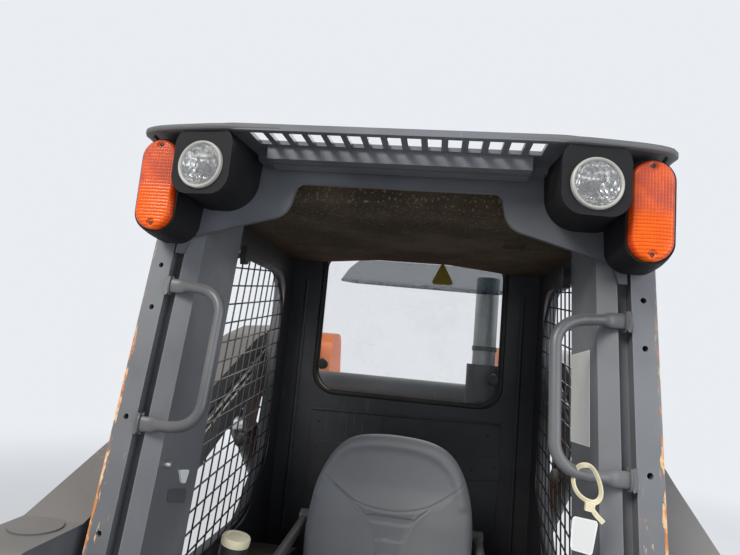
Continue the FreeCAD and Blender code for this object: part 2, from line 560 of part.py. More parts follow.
def face_lamps():
    """Flared pods with headlamps turned a little outward, and marker lenses in flared cases."""
    lamp_z = size["cab_top"] - size["lamp_drop"]
    lens_high = size["cab_top"] - size["lens_drop"]
    lens_z = lens_high - size["lens_length"] / 2
    base_y = size["post_face"] + (lamp_z - size["post_mark"]) * size["post_setback"] / 1000
    # Room of the header and what is behind it, and of the visor and what is above it
    header_room = prism("header_notch", "side", (
        (post_line("1700") + " - header_sheet", "1700"), (post_line("1700") + " + 100", "1700"),
        (post_line("2200") + " + 100", "2200"), (post_line("2200") + " - header_sheet", "2200")), "0",
                        "2 * cab_half")
    visor_room = prism("visor_notch", "side", (
        ("visor_front - 60", VISOR_TOP + " - visor_rim - 1"),
        ("visor_front + 7", VISOR_TOP + " - visor_rim - 1"),
        ("visor_front + 7", VISOR_TOP + " - visor_sheet"),
        ("visor_break", "cab_top + roof_sheet - visor_sheet"),
        ("visor_break + 50", "cab_top + roof_sheet - visor_sheet"),
        ("visor_break + 50", "cab_top"), ("visor_break + 250", "cab_top"),
        ("visor_break + 250", "cab_top + 200"),
        ("visor_front - 60", "cab_top + 200")), "0", "2 * cab_half")
    ridge_room = box("ridge_notch", "0", "visor_break - 30", "cab_top - ridge_drop - 10", "ridge_half + 1",
                     "110", "100")

    front = V(size["lamp_out"], size["lamp_front"], lamp_z + size["pod_up"])
    back = V(size["base_out"], base_y + 40, lamp_z + size["base_up"])
    rings = []
    # Share of the way back, share of the flare there, corner's radius as a share of the half width
    for way, flare in ((0, 0), (0.3, 0.1), (0.65, 0.5), (1, 1)):
        wide = size["pod_half"] + (size["base_wide"] - size["pod_half"]) * flare
        high = size["pod_rise"] + (size["base_rise"] - size["pod_rise"]) * flare
        corner = size["pod_corner"] + (0.9 * size["base_wide"] - size["pod_corner"]) * flare
        rings.append(ring_wire(front + (back - front) * way, wide, high, corner,
                               size["lamp_turn"] * (1 - way)))
    pod = feature("pod_form", Part.makeLoft(rings, True, False))
    turn = FreeCAD.Rotation(UPRIGHT, size["lamp_turn"])
    axis = turn.multVec(FORE_AFT)
    mouth = V(size["lamp_out"], size["lamp_front"], lamp_z)
    bowl = feature("pod_bowl", Part.makeCylinder(size["lamp_radius"] + 0.3, size["lamp_depth"] + 41,
                                                 mouth - axis * 40, axis))

    # Lamp section: along its axis from the pod's face, radius; ring, crowned glass and tapered back
    radius, depth, crown = size["lamp_radius"], size["lamp_depth"], size["lamp_crown"]
    glass_radius = radius - size["lamp_ring"]
    rim = [V(0, 0, depth), V(0.6 * radius, 0, depth), V(radius, 0, 8), V(radius, 0, -3),
           V(glass_radius, 0, -4)]
    ball = (glass_radius ** 2 + crown ** 2) / (2 * crown)
    half_way = V(glass_radius / 2, 0, ball - 4 - crown - math.sqrt(ball ** 2 - (glass_radius / 2) ** 2))
    tip = V(0, 0, -4 - crown)
    edges = [Part.LineSegment(a, b).toShape() for a, b in zip(rim, rim[1:])]
    edges += [Part.Arc(rim[-1], half_way, tip).toShape(), Part.LineSegment(tip, rim[0]).toShape()]
    lamp = Part.Face(Part.Wire(edges)).revolve(V(), UPRIGHT, 360)
    lamp.Placement = FreeCAD.Placement(mouth, FreeCAD.Rotation(UPRIGHT, axis))

    lens_middle = V(size["lens_out"], size["lens_front"], lens_z)
    lens_high_half = size["lens_length"] / 2
    outline = ring_wire(lens_middle, size["lens_half"], lens_high_half, size["lens_half"] - 1)
    lens = Part.Face(outline).extrude(FORE_AFT * size["lens_depth"])
    rim_edges = [edge for edge in lens.Edges if edge.BoundBox.YMax < size["lens_front"] + 0.01]
    lens = feature("marker", lens.makeFillet(size["lens_edge"], rim_edges))
    lip, flare = size["case_lip"], size["case_flare"]
    case_rings = [ring_wire(lens_middle + V(shift, way, 0), size["lens_half"] + lip + grow,
                            lens_high_half + lip + grow / 2,
                            size["lens_half"] + lip - 2)
                  for way, shift, grow in ((size["lens_depth"] * 0.5, 0, 0),
                                           (60, flare * 0.4, 0.6 * flare), (170, 0, flare))]
    case = feature("marker_case", Part.makeLoft(case_rings, True, False))
    lens_room = feature("marker_room", Part.Face(ring_wire(
        lens_middle - FORE_AFT * 10, size["lens_half"] + 0.3, lens_high_half + 0.3,
        size["lens_half"] - 0.7)).extrude(
            FORE_AFT * (size["lens_depth"] + 10)))
    case_gap = feature("marker_case_room", Part.makeLoft([ring_wire(
        lens_middle + V(shift, way, 0), size["lens_half"] + lip + grow + 0.4,
        lens_high_half + lip + grow / 2 + 0.4,
        size["lens_half"] + lip - 1.6) for way, shift, grow in (
            (-40, 0, 0), (size["lens_depth"] * 0.5, 0, 0), (60, flare * 0.4, 0.6 * flare),
            (170, 0, flare))], True, False))
    case = cut("marker_case", case, lens_room, header_room, visor_room)
    pod = cut("pod", pod, bowl, case_gap, header_room, visor_room, ridge_room)
    finish("lamp_pods", pod, case, pair=True)
    finish("headlamps", feature("headlamp", lamp), pair=True)
    finish("marker_lenses", cut("marker_trim", lens, visor_room), pair=True)


def grab_handles():
    """Bent tube on each post, its grip inboard of its feet."""
    def face(height):
        return size["post_face"] + (height - size["post_mark"]) * size["post_setback"] / 1000
    low, high, foot = size["handle_low"], size["handle_high"], size["handle_foot"]
    grip, stand = size["handle_grip"], size["handle_stand"]
    radius = size["handle_tube"]
    ends = ((foot, face(low) - radius, low), (grip, face(low) - stand, low + 34),
            (grip, face(high) - stand, high - 34), (foot, face(high) - radius, high))
    feet = [prism(f"handle_foot_{number}", "side", (
        (post_line(f"({height} - 14)") + " - 7", f"{height} - 14"),
        (post_line(f"({height} - 14)"), f"{height} - 14"),
        (post_line(f"({height} + 14)"), f"{height} + 14"),
        (post_line(f"({height} + 14)") + " - 7", f"{height} + 14")),
        "strip_inner - 10", "38") for number, height in enumerate(("handle_low", "handle_high"))]
    rail = tube("handle", [V(*end) for end in ends], radius, 34)
    finish("grab_handles", fused("handle", rail, *feet), pair=True)


def seat_and_controls():
    """Seat, its base with the lap bar's brackets, side consoles, levers and pedals."""
    back = prism("back", "front", (
        ("-seat_half + 50", "cushion_top - 20", 40), ("seat_half - 50", "cushion_top - 20", 40),
        ("seat_half", "cushion_top + 240", 120), ("seat_half - 34", "seat_top - 60", 90),
        ("110", "seat_top", 120), ("-110", "seat_top", 120), ("-seat_half + 34", "seat_top - 60", 90),
        ("-seat_half", "cushion_top + 240", 120)), "back_front", "back_depth")
    finish("seat_back", back)
    finish("seat_cushion", prism("cushion", "plan", (
        ("-seat_half", "cushion_front", 70), ("seat_half", "cushion_front", 70),
        ("seat_half", "cushion_rear", 50), ("-seat_half", "cushion_rear", 50)), "seat_low",
        "cushion_top - seat_low"))
    floor = "(frame_top + floor_sheet)"
    pan = box("seat_box", "-base_half", "cushion_front + 60", floor, "2 * base_half",
              "cushion_rear - cushion_front + 165", f"seat_low - {floor}")
    pan = cut("seat_box", pan, box("seat_box_room", "-base_half + plate", "cushion_front + 60 + plate",
                                   floor + " + plate", "2 * base_half - 2 * plate",
                                   "cushion_rear - cushion_front + 165 - 2 * plate",
                                   f"seat_low - {floor} - 2 * plate"))
    spine = box("seat_spine", "-70", "back_front + back_depth", floor, "140", "20", "600")
    cheek = prism("bar_cheek", "side", (
        ("170", floor), ("bar_pivot_back + 40", floor), ("bar_pivot_back + 40", "bar_pivot_up + 40", 38),
        ("bar_pivot_back - 40", "bar_pivot_up + 40", 38), ("170", "cushion_top")), "base_half", "24")
    pin = bar("bar_pin", SIDEWAYS, "base_half + 24", "bar_pivot_back", "bar_pivot_up", "9", "26")
    holder = fused("bar_holder", cheek, pin)
    finish("seat_base", fused("seat_base", pan, spine, holder, mirrored("bar_holder", holder)))

    console = prism("console", "side", (
        ("-340", floor, 30), ("370", floor, 30), ("370", "console_top - 30", 40),
        ("150", "console_top", 60),
        ("-340", "console_top", 60)), "console_inner", "cab_half - cab_wall - console_inner")
    finish("consoles", console, pair=True)
    stem = bar("lever_stem", UPRIGHT, "lever_out", "lever_place", "console_top", "9",
               "lever_top - console_top - 60")
    grip = bar("lever_grip", UPRIGHT, "lever_out", "lever_place", "lever_top - 100", "17", "100")
    boot = bar("lever_boot", UPRIGHT, "lever_out", "lever_place", "console_top", "34", "46", "14")
    pedal = prism("pedal", "side", (
        ("-560", floor), ("-430", floor), ("-430", floor + " + 14"), ("-548", floor + " + 62"),
        ("-560", floor + " + 56")), "120", "110")
    finish("control_levers", fused("lever", stem, grip, boot), pedal, pair=True)

    half, low, pivot = size["bar_half"], size["bar_low"], V(0, size["bar_pivot_back"], size["bar_pivot_up"])
    rail = tube("lap_rail", [V(half, pivot.y - 20, pivot.z), V(half, size["bar_reach"], low),
                             V(-half, size["bar_reach"], low), V(-half, pivot.y - 20, pivot.z)],
                size["bar_tube"], 70)
    eye = cut("bar_eye", bar("bar_eye", SIDEWAYS, "bar_half - bar_tube - 2", "bar_pivot_back",
                             "bar_pivot_up",
                             "24", "2 * bar_tube + 4"),
              bar("bar_bore", SIDEWAYS, "bar_half - bar_tube - 3", "bar_pivot_back", "bar_pivot_up",
                  "9 + pin_gap", "2 * bar_tube + 6"))
    finish("lap_bar", fused("lap_bar", rail, eye, mirrored("bar_eye", eye)))


def rear_body():
    """Arm uprights, hood, engine block, grille door, counterweight, stack and rear lamps."""
    shape = (("1040", "frame_top"), ("1330", "frame_top"), ("lamp_seat", "700"),
             ("lamp_seat", "upright_top - 200"),
             ("arm_pivot_y + 110", "upright_top", 80), ("arm_pivot_y - 110", "upright_top", 80),
             ("1090", "upright_top - 300"))
    upright = prism("upright", "side", shape, "upright_inner", "upright_outer - upright_inner")
    room = prism("upright_room", "side", (
        ("1070", "frame_top + 30"), ("1310", "frame_top + 30"), ("1400", "730"),
        ("1385", "upright_top - 220"),
        ("1330", "upright_top - 30"), ("1170", "upright_top - 30"), ("1115", "upright_top - 320")),
        "upright_inner + plate", "upright_outer - upright_inner - 2 * plate")
    boss = bar("arm_boss", SIDEWAYS, "upright_outer", "arm_pivot_y", "arm_pivot_z", "84",
               "arm_inner - upright_outer - face_gap")
    pin = bar("arm_pin_bar", SIDEWAYS, "upright_inner", "arm_pivot_y", "arm_pivot_z", "arm_pin",
              "arm_outer + 14 - upright_inner")
    cap = bar("arm_pin_cap", SIDEWAYS, "arm_outer + face_gap", "arm_pivot_y", "arm_pivot_z", "58", "14")
    stub = bar("lift_stub", SIDEWAYS, "upright_outer", "lift_base_y", "lift_base_z", "36",
               "lift_x - eye_half - face_gap - upright_outer")
    stub_pin = bar("lift_stub_pin", SIDEWAYS, "upright_inner", "lift_base_y", "lift_base_z", "cylinder_pin",
                   "lift_x + eye_half + 12 - upright_inner")
    stub_cap = bar("lift_stub_cap", SIDEWAYS, "lift_x + eye_half + face_gap", "lift_base_y", "lift_base_z",
                   "32", "12")
    finish("rear_uprights", fused("upright", cut("upright", upright, room), boss, pin, cap, stub, stub_pin,
                                  stub_cap),
           pair=True)

    shell = prism("hood", "side", (
        ("hood_front", "frame_top"), ("hood_front", "hood_crest", 25),
        ("hood_front + 178", "hood_crest", 20),
        ("hood_front + 202", "hood_crest - 52"), ("hood_rear - 90", "hood_crest - 90", 60),
        ("hood_rear", "hood_crest - 170", 30), ("hood_rear", "door_high + 5"),
        ("hood_rear - 30", "door_high + 5"),
        ("hood_rear - 30", "frame_top")), "-hood_half", "2 * hood_half")
    room = prism("hood_room", "side", (
        ("hood_front + plate", "frame_top - 1"), ("hood_front + plate", "hood_crest - plate"),
        ("hood_front + 166", "hood_crest - plate"), ("hood_front + 190", "hood_crest - 52 - plate"),
        ("hood_rear - 94", "hood_crest - 90 - plate"), ("hood_rear - 42", "hood_crest - 175"),
        ("hood_rear - 42", "door_high - 10"), ("hood_rear + 10", "door_high - 10"),
        ("hood_rear + 10", "frame_top - 1")),
        "-(hood_half - plate)", "2 * (hood_half - plate)")
    straps = []
    for number, low in enumerate(("door_low + 130", "door_high - 190")):
        straps.append(fused(f"strap_{number}",
                            box(f"strap_pad_{number}", "-hinge_out - 8", "hood_rear - 70", low,
                                "hinge_out + 8 - hood_half",
                                "60", "40"),
                            box(f"strap_arm_{number}", "-hinge_out - 8", "hood_rear - 10", low, "14", "32",
                                "40"),
                            bar(f"strap_eye_{number}", UPRIGHT, "-hinge_out", "hood_rear + 22", low, "12",
                                "40")))
    louvres = [box(f"louvre_{number}", "-hood_half - 1", "hood_front + 90",
                   f"hood_crest - 130 - {number} * louvre_pitch", "2 * hood_half + 2", "louvre_length",
                   "louvre_width")
               for number in range(int(size["louvre_count"]))]
    finish("engine_hood", fused("hood", cut("hood", shell, room, fused("louvres", *louvres)), *straps))
    finish("engine_block", box("engine", "-250", "720", "frame_bottom + belly_plate", "500", "540", "760"))

    leaf = prism("door", "front", (
        ("-(hood_half + 6)", "door_low", 24), ("hood_half + 6", "door_low", 24),
        ("hood_half + 6", "door_high", 24), ("-(hood_half + 6)", "door_high", 24)),
        "hood_rear + face_gap", "door_sheet")
    inside = box("door_room", "-(hood_half - 20)", "hood_rear - 1", "door_low + 26", "2 * (hood_half - 20)",
                 "door_sheet - 8", "door_high - door_low - 52")
    vent = box("door_vent", "-280", "hood_rear", "door_low + 170", "560", "door_sheet + 5", "520")
    knuckles = []
    for number, low in enumerate(("door_low + 130 + 40 + face_gap", "door_high - 190 + 40 + face_gap")):
        knuckles.append(bar(f"knuckle_{number}", UPRIGHT, "-hinge_out", "hood_rear + 22", low, "12", "40"))
        knuckles.append(box(f"knuckle_tab_{number}", "-hinge_out", "hood_rear + 14", low, "22", "16", "40"))
    finish("rear_door", fused("door", cut("door", leaf, inside, vent), *knuckles))
    slats = []
    for number in range(11):
        low = f"door_low + 178 + {number} * 47"
        slats.append(prism(f"slat_{number}", "side", (
            ("hood_rear + 14", low), ("hood_rear + 20", low), ("hood_rear + door_sheet - 2", low + " + 26"),
            ("hood_rear + door_sheet - 2", low + " + 32"), ("hood_rear + door_sheet - 8", low + " + 32"),
            ("hood_rear + 14", low + " + 6")), "-280", "560"))
    finish("rear_grille", *slats)

    weight = prism("weight", "plan", (
        ("-frame_half", "frame_rear"), ("frame_half", "frame_rear"),
        ("frame_half", "frame_rear + weight_depth - 60", 50),
        ("frame_half - 70", "frame_rear + weight_depth", 30),
        ("-frame_half + 70", "frame_rear + weight_depth", 30),
        ("-frame_half", "frame_rear + weight_depth - 60", 50)),
        "frame_bottom", "door_low - 5 - frame_bottom")
    finish("counterweight", weight)
    stack = bar("stack", UPRIGHT, "stack_out", "stack_place", "hood_crest", "stack_radius",
                "stack_top - hood_crest")
    finish("exhaust_stack", cut("stack", stack, bar("stack_bore", UPRIGHT, "stack_out", "stack_place",
                                                    "hood_crest + 20",
                                                    "stack_radius - stack_wall", "stack_top - hood_crest")))
    sleeve = bar("sleeve", UPRIGHT, "stack_out", "stack_place", "hood_crest", "sleeve_radius",
                 "sleeve_top - hood_crest")
    finish("stack_sleeve", cut("sleeve", sleeve, bar("sleeve_bore", UPRIGHT, "stack_out", "stack_place",
                                                     "hood_crest - 1",
                                                     "stack_radius + 0.3", "sleeve_top - hood_crest + 2")))
    finish("rear_lamps", box("rear_lamp", "upright_inner + 12", "lamp_seat", "1220", "76", "34", "150"),
           pair=True)


def lift_arms():
    """Box arms with their front legs, cross tubes, brackets and steel lines."""
    outline = (
        ("arm_pivot_y + 118", "arm_pivot_z - 110", 100), ("arm_pivot_y + 118", "arm_pivot_z + 110", 100),
        ("900", "1778", 300), ("534", "1757", 300), ("352", "1717", 300), ("-186", "1480", 200),
        ("-505", "elbow_top", 20), ("-668", "elbow_top", 36), ("-768", "1130", 120),
        ("tool_pin_y - 78", "tool_pin_z + 60", 60),
        ("tool_pin_y - 70", "tool_pin_z - 74", 66), ("tool_pin_y + 78", "tool_pin_z - 74", 66),
        ("tool_pin_y + 90", "tool_pin_z + 60", 60), ("-560", "1040", 160), ("-420", "1160", 120),
        ("-60", "1330", 160), ("340", "1508", 200), ("860", "1500", 200))
    body = prism("arm", "side", outline, "arm_inner", "arm_outer - arm_inner")
    room = prism("arm_room", "side", (
        ("1150", "1590"), ("1150", "1735"), ("900", "1758"), ("540", "1738"), ("360", "1698"),
        ("-180", "1460"),
        ("-500", "elbow_top - 22"), ("-648", "elbow_top - 22"), ("-728", "1150"), ("-910", "520"),
        ("-850", "500"), ("-590", "1062"),
        ("-436", "1186"), ("-76", "1354"), ("330", "1530"), ("860", "1522")),
        "arm_inner + arm_wall", "arm_outer - arm_inner - 2 * arm_wall")
    bores = [bar(name, SIDEWAYS, "arm_inner - 1", y, z, radius, "arm_outer - arm_inner + 2") for name, y,
             z, radius in (
        ("arm_bore", "arm_pivot_y", "arm_pivot_z", "arm_pin + pin_gap"),
        ("tool_bore", "tool_pin_y", "tool_pin_z", "tool_pin + pin_gap"))]
    tilt_boss = bar("tilt_boss", SIDEWAYS, "tilt_x + eye_half + 5", "tilt_base_y", "tilt_base_z", "34",
                    "arm_inner - tilt_x - eye_half - 5")
    tilt_pin = bar("tilt_pin", SIDEWAYS, "tilt_x - eye_half - 12", "tilt_base_y", "tilt_base_z",
                   "cylinder_pin",
                   "arm_inner - tilt_x + eye_half + 12")
    cheek_shape = (("lift_eye_y - 90", "1508"), ("lift_eye_y - 44", "lift_eye_z - 36", 34),
                   ("lift_eye_y + 44", "lift_eye_z - 36", 34), ("lift_eye_y + 90", "1508"))
    cheeks = [prism(f"lift_cheek_{number}", "side", cheek_shape, f"lift_x + {shift}", "12")
              for number, shift in enumerate((-40, 28))]
    plug = bar("elbow_plug", UPRIGHT, "(arm_inner + arm_outer) / 2", "plug_y", "elbow_top - 10",
               "plug_radius",
               "plug_rise + 10")
    arm = fused("arm", cut("arm", body, room, *bores), tilt_boss, tilt_pin, plug, *cheeks)
    finish("lift_arms", arm, pair=True)
    rear = bar("rear_cross", SIDEWAYS, "-arm_inner", "tube_y", "tube_z", "tube_radius", "2 * arm_inner")
    front = bar("front_cross", SIDEWAYS, "-arm_inner", "cross_y", "cross_z", "cross_radius",
                "2 * arm_inner")
    finish("cross_tubes", rear, front)
    lines = []
    for number, drop in enumerate((0, 26)):
        runs = [V(size["arm_inner"] - 9, y, z - drop) for y, z in
                ((1080, 1690), (880, 1712), (670, 1722), (420, 1672), (-160, 1420), (-480, 1280),
                 (-600, 1180))]
        lines.append(tube(f"line_{number}", runs, 7, 60))
    clamps = [box(f"clamp_{number}", "arm_inner - 17", y, z, "17", "24", "62")
              for number, (y, z) in enumerate(((760, 1668), (300, 1572), (-120, 1386)))]
    finish("hydraulic_lines", fused("line_set", *lines, *clamps), pair=True)


def cylinder_pair(name, base, eye, across, barrel, rod, tail, gland):
    """Barrel and rod along the line between two pins, each with its eye."""
    length = math.hypot(eye[0] - base[0], eye[1] - base[1])
    turn = FreeCAD.Rotation(UPRIGHT, V(0, eye[0] - base[0], eye[1] - base[1]))
    place = FreeCAD.Placement(V(size[across], *base), turn)
    half = size["eye_half"]

    def eye_ring(label, up, outer):
        ring = bar(label, SIDEWAYS, -half, 0, up, outer, 2 * half)
        return ring, bar(label + "_bore", SIDEWAYS, -half - 1, 0, up, "cylinder_pin + pin_gap",
                         2 * half + 2)
    ring, bore = eye_ring(name + "_base_eye", 0, barrel - 4)
    neck = box(name + "_neck", -half, -24, 24, 2 * half, 48, barrel - 10)
    shell = bar(name + "_tube", UPRIGHT, 0, 0, barrel + 6, barrel, gland - barrel - 6)
    inside = bar(name + "_tube_room", UPRIGHT, 0, 0, barrel + 24, barrel - 8, gland - barrel - 48)
    mouth = bar(name + "_gland", UPRIGHT, 0, 0, gland - 40, rod + 0.3, 50)
    collar = bar(name + "_collar", UPRIGHT, 0, 0, gland - 34, barrel + 5, 34)
    body = cut(name + "_barrel", fused(name + "_barrel", ring, neck, shell, collar), bore, inside, mouth)
    body.Placement = place
    ring, bore = eye_ring(name + "_rod_eye", length, rod + 12)
    shaft = bar(name + "_shaft", UPRIGHT, 0, 0, tail, rod, length - size["cylinder_pin"] - 5 - tail)
    piston = bar(name + "_piston", UPRIGHT, 0, 0, tail, barrel - 8.3, 40)
    stem = cut(name + "_rod", fused(name + "_rod", ring, shaft, piston), bore)
    stem.Placement = place
    finish(name + "_barrels", body, pair=True)
    finish(name + "_rods", stem, pair=True)


def cylinders():
    """Lift cylinders outboard at the rear, tilt cylinders inboard of the front legs."""
    for name in ("lift", "tilt"):
        base = (size[name + "_base_y"], size[name + "_base_z"])
        eye = (size[name + "_eye_y"], size[name + "_eye_z"])
        length = math.hypot(eye[0] - base[0], eye[1] - base[1])
        pull_in = size.get(name + "_pull_in", 0)
        rod = size[name + "_rod"]
        gland = length - pull_in - rod - 34
        tail = gland - 70 - size[name + "_stroke"]
        cylinder_pair(name, base, eye, name + "_x", size[name + "_barrel"], rod, tail, gland)


def coupler_and_bucket():
    """Coupler plate with its ears, and the bucket that it carries."""
    plate = box("coupler_plate", "-coupler_half", "tool_plate - coupler_sheet", "210", "2 * coupler_half",
                "coupler_sheet", "460")
    middle = box("coupler_window", "-340", "tool_plate - coupler_sheet - 1", "300", "680",
                 "coupler_sheet + 2", "270")
    dips = []
    for number, (half_width, low) in enumerate((("eye_half + 8", "tilt_eye_z - 40"),
                                                ("tilt_barrel + 18", "tilt_eye_z + 40"))):
        dip = box(f"coupler_dip_{number}", f"tilt_x - ({half_width})", "tool_plate - coupler_sheet - 1",
                  low,
                  f"2 * ({half_width})", "coupler_sheet + 2", "300")
        dips += [dip, mirrored(f"coupler_dip_{number}", dip)]
    lower_ear = (("tool_plate", "230"), ("tool_pin_y - 30", "tool_pin_z - 60", 40),
                 ("tool_pin_y + 56", "tool_pin_z - 50", 46),
                 ("tool_pin_y + 50", "tool_pin_z + 56", 46), ("tool_plate", "560"))
    upper_ear = (("tool_plate", "430"), ("tilt_eye_y + 10", "tilt_eye_z - 40", 30),
                 ("tilt_eye_y + 44", "tilt_eye_z + 20", 30),
                 ("tilt_eye_y - 10", "tilt_eye_z + 46", 30), ("tool_plate", "tilt_eye_z + 36"))
    ears = [prism(f"ear_{number}", "side", shape, start, width) for number,
            (shape, start, width) in enumerate((
        (lower_ear, "arm_inner - 10 - ear", "ear"), (lower_ear, "arm_outer + 10", "ear"),
        (upper_ear, "tilt_x - eye_half - 8 - 12", "12"), (upper_ear, "tilt_x + eye_half + 8", "12")))]
    pin = bar("tool_pin_bar", SIDEWAYS, "arm_inner - 10 - ear", "tool_pin_y", "tool_pin_z", "tool_pin",
              "arm_outer - arm_inner + 20 + 2 * ear")
    half = fused("coupler_half", *ears, pin)
    finish("coupler", fused("coupler", cut("coupler", plate, middle, *dips), half,
                            mirrored("coupler_half", half)))

    back = "tool_plate - coupler_sheet"
    inner = "tool_plate - coupler_sheet - bucket_sheet"
    section = (
        (back, "bucket_high - 40", 20), (back, "bucket_low + 130", 90), (back + " - 90", "bucket_low", 60),
        ("bucket_lip", "bucket_low"), ("bucket_lip", "bucket_low + 6"),
        ("bucket_lip + 30", "bucket_low + bucket_sheet + 6"),
        ("bucket_lip + 190", "bucket_low + bucket_sheet + 6"),
        ("bucket_lip + 194", "bucket_low + bucket_sheet"),
        (back + " - 94", "bucket_low + bucket_sheet", 50), (inner, "bucket_low + 136", 80),
        (inner, "bucket_high - 46", 10), (back + " - 70", "bucket_high - 14"),
        (back + " - 66", "bucket_high"))
    sheet_metal = prism("bucket_skin", "side", section, "-(bucket_half - bucket_sheet)",
                        "2 * (bucket_half - bucket_sheet)")
    end = prism("bucket_end", "side", (
        (back, "bucket_low + 120", 90), (back + " - 80", "bucket_low", 60), ("bucket_lip", "bucket_low"),
        ("bucket_lip + 8", "bucket_low + 60", 20), (back + " - 190", "400", 120),
        (back + " - 66", "bucket_high", 20),
        (back, "bucket_high - 40", 20)), "bucket_half - bucket_sheet", "bucket_sheet")
    finish("bucket", fused("bucket", sheet_metal, end, mirrored("bucket_end", end)))


for build in (chassis, wheels, cab_shell, side_screens, face_lamps, grab_handles, seat_and_controls,
              rear_body, lift_arms, cylinders, coupler_and_bucket):
    build()
doc.recompute()

for item in doc.Objects:
    if "Invalid" in item.State or "Error" in item.State:
        raise RuntimeError(f"{item.Label} failed: {item.State}")
os.makedirs("parts", exist_ok=True)
for node, item in parts.items():
    if item.Shape.isNull() or not item.Shape.isValid() or not item.Shape.Solids:
        raise RuntimeError(f"{node} has no valid solid")
    item.Shape.exportStep(f"parts/{node}.step")
    print(node, len(item.Shape.Solids), round(item.Shape.Volume / 1e6, 2), "litres")
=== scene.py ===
"""Skid steer loader: finishes, cushions, lamps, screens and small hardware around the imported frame."""
import json
import math

import bmesh
import bpy
import numpy as np
from mathutils import Matrix, Vector


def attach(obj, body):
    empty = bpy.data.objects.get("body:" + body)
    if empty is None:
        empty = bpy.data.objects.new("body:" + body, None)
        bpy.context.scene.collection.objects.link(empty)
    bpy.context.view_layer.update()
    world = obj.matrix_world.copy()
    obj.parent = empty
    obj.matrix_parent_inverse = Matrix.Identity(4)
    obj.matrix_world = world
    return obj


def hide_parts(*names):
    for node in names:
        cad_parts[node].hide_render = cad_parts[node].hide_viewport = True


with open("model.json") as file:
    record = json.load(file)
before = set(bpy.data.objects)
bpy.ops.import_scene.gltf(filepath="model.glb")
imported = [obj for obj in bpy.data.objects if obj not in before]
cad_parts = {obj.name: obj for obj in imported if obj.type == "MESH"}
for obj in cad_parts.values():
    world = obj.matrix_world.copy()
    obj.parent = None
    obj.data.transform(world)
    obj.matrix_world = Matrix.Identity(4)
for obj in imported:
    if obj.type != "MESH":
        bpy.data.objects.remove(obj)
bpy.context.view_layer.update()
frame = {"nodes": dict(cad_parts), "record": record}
BODY_OF = {node: body for body, nodes in frame["record"]["behaviour"]["bodies"].items() for node in nodes}
X, Y, Z = np.eye(3)

# Camera: where the photographer stood, from the cab's mirrored pairs of points
PHOTO_WIDTH, FOCAL_PIXELS = 740, 540.85
CAMERA_PLACE = (.1005, -1.4777, 1.7186)
CAMERA_YAW, CAMERA_PITCH, CAMERA_ROLL = (math.radians(a) for a in (-7.827, 16.709, 6.471))
POST_LEAN = math.radians(9.5)

BACKDROP = (.82, .85, .89, 1)
DUST, RUST = (.33, .28, .22), (.19, .085, .035)

# Places and sizes that finishes and pieces share, in metres
LAMP_PLACE, LAMP_TURN = np.array((.340, -.590, 2.014)), math.radians(8)
LAMP_AHEAD = np.array((math.sin(LAMP_TURN), -math.cos(LAMP_TURN), 0))
LENS_PLACE = np.array((.439, -.560, 1.985))
LENS_HALF, LENS_REACH, LENS_THICK = .0366, .0500, .025
RIB_PITCH, FLUTE_PITCH = .0062, .0052
POST_MARK, POST_FACE, POST_SETBACK = 1.555, -.500, .1673
POST_SIDE = .3868
WHEEL_RADIUS, WHEEL_ACROSS = .410, .700
CONSOLE_TOP = 1.080


def make_camera():
    """Aim by yaw, pitch and roll against the leaning posts, then lean the whole view with them."""
    ahead = Vector((math.sin(CAMERA_YAW) * math.cos(CAMERA_PITCH),
                    math.cos(CAMERA_YAW) * math.cos(CAMERA_PITCH), math.sin(CAMERA_PITCH)))
    level = Vector((math.cos(CAMERA_YAW), -math.sin(CAMERA_YAW), 0))
    upward = level.cross(ahead)
    right = level * math.cos(CAMERA_ROLL) + upward * math.sin(CAMERA_ROLL)
    top = upward * math.cos(CAMERA_ROLL) - level * math.sin(CAMERA_ROLL)
    lean = Matrix.Rotation(-POST_LEAN, 3, "X")
    turn = Matrix((lean @ right, lean @ top, -(lean @ ahead))).transposed()
    data = bpy.data.cameras.new("photo_camera")
    data.sensor_width = 36
    data.lens = FOCAL_PIXELS * data.sensor_width / PHOTO_WIDTH
    data.clip_start = .05
    camera = placed(bpy.data.objects.new("photo_camera", data))
    camera.matrix_world = Matrix.Translation(CAMERA_PLACE) @ turn.to_4x4()
    bpy.context.scene.camera = camera


def placed(thing):
    """Put an object into the scene."""
    bpy.context.scene.collection.objects.link(thing)
    return thing


class Signal:
    """A socket in a node tree; arithmetic on it adds Math nodes."""

    def __init__(self, tree, node, socket):
        self.tree, self.node, self.socket = tree, node, socket

    def out(self, name):
        """Another output of the same node."""
        return Signal(self.tree, self.node, self.node.outputs[name])

    def math(self, operation, *others):
        return self.tree.node("ShaderNodeMath", {"operation": operation}, dict(enumerate((self, *others))))

    def __add__(self, other): return self.math("ADD", other)
    def __sub__(self, other): return self.math("SUBTRACT", other)
    def __mul__(self, other): return self.math("MULTIPLY", other)
    def __radd__(self, other): return self.math("ADD", other)
    def __rmul__(self, other): return self.math("MULTIPLY", other)
    def __rsub__(self, other): return self.math("MULTIPLY", -1.0) + other
    def most(self, other): return self.math("MAXIMUM", other)
    def least(self, other): return self.math("MINIMUM", other)
    def wave(self): return self.math("SINE")
    def size(self): return self.math("ABSOLUTE")

    def clamp(self):
        """Held between 0 and 1."""
        held = self.math("ADD", 0.0)
        held.node.use_clamp = True
        return held

    def step(self, low, high):
        """0 below low, 1 above high, smooth between them."""
        return self.tree.node("ShaderNodeMapRange", {"interpolation_type": "SMOOTHSTEP"},
                              {"Value": self, "From Min": low, "From Max": high})


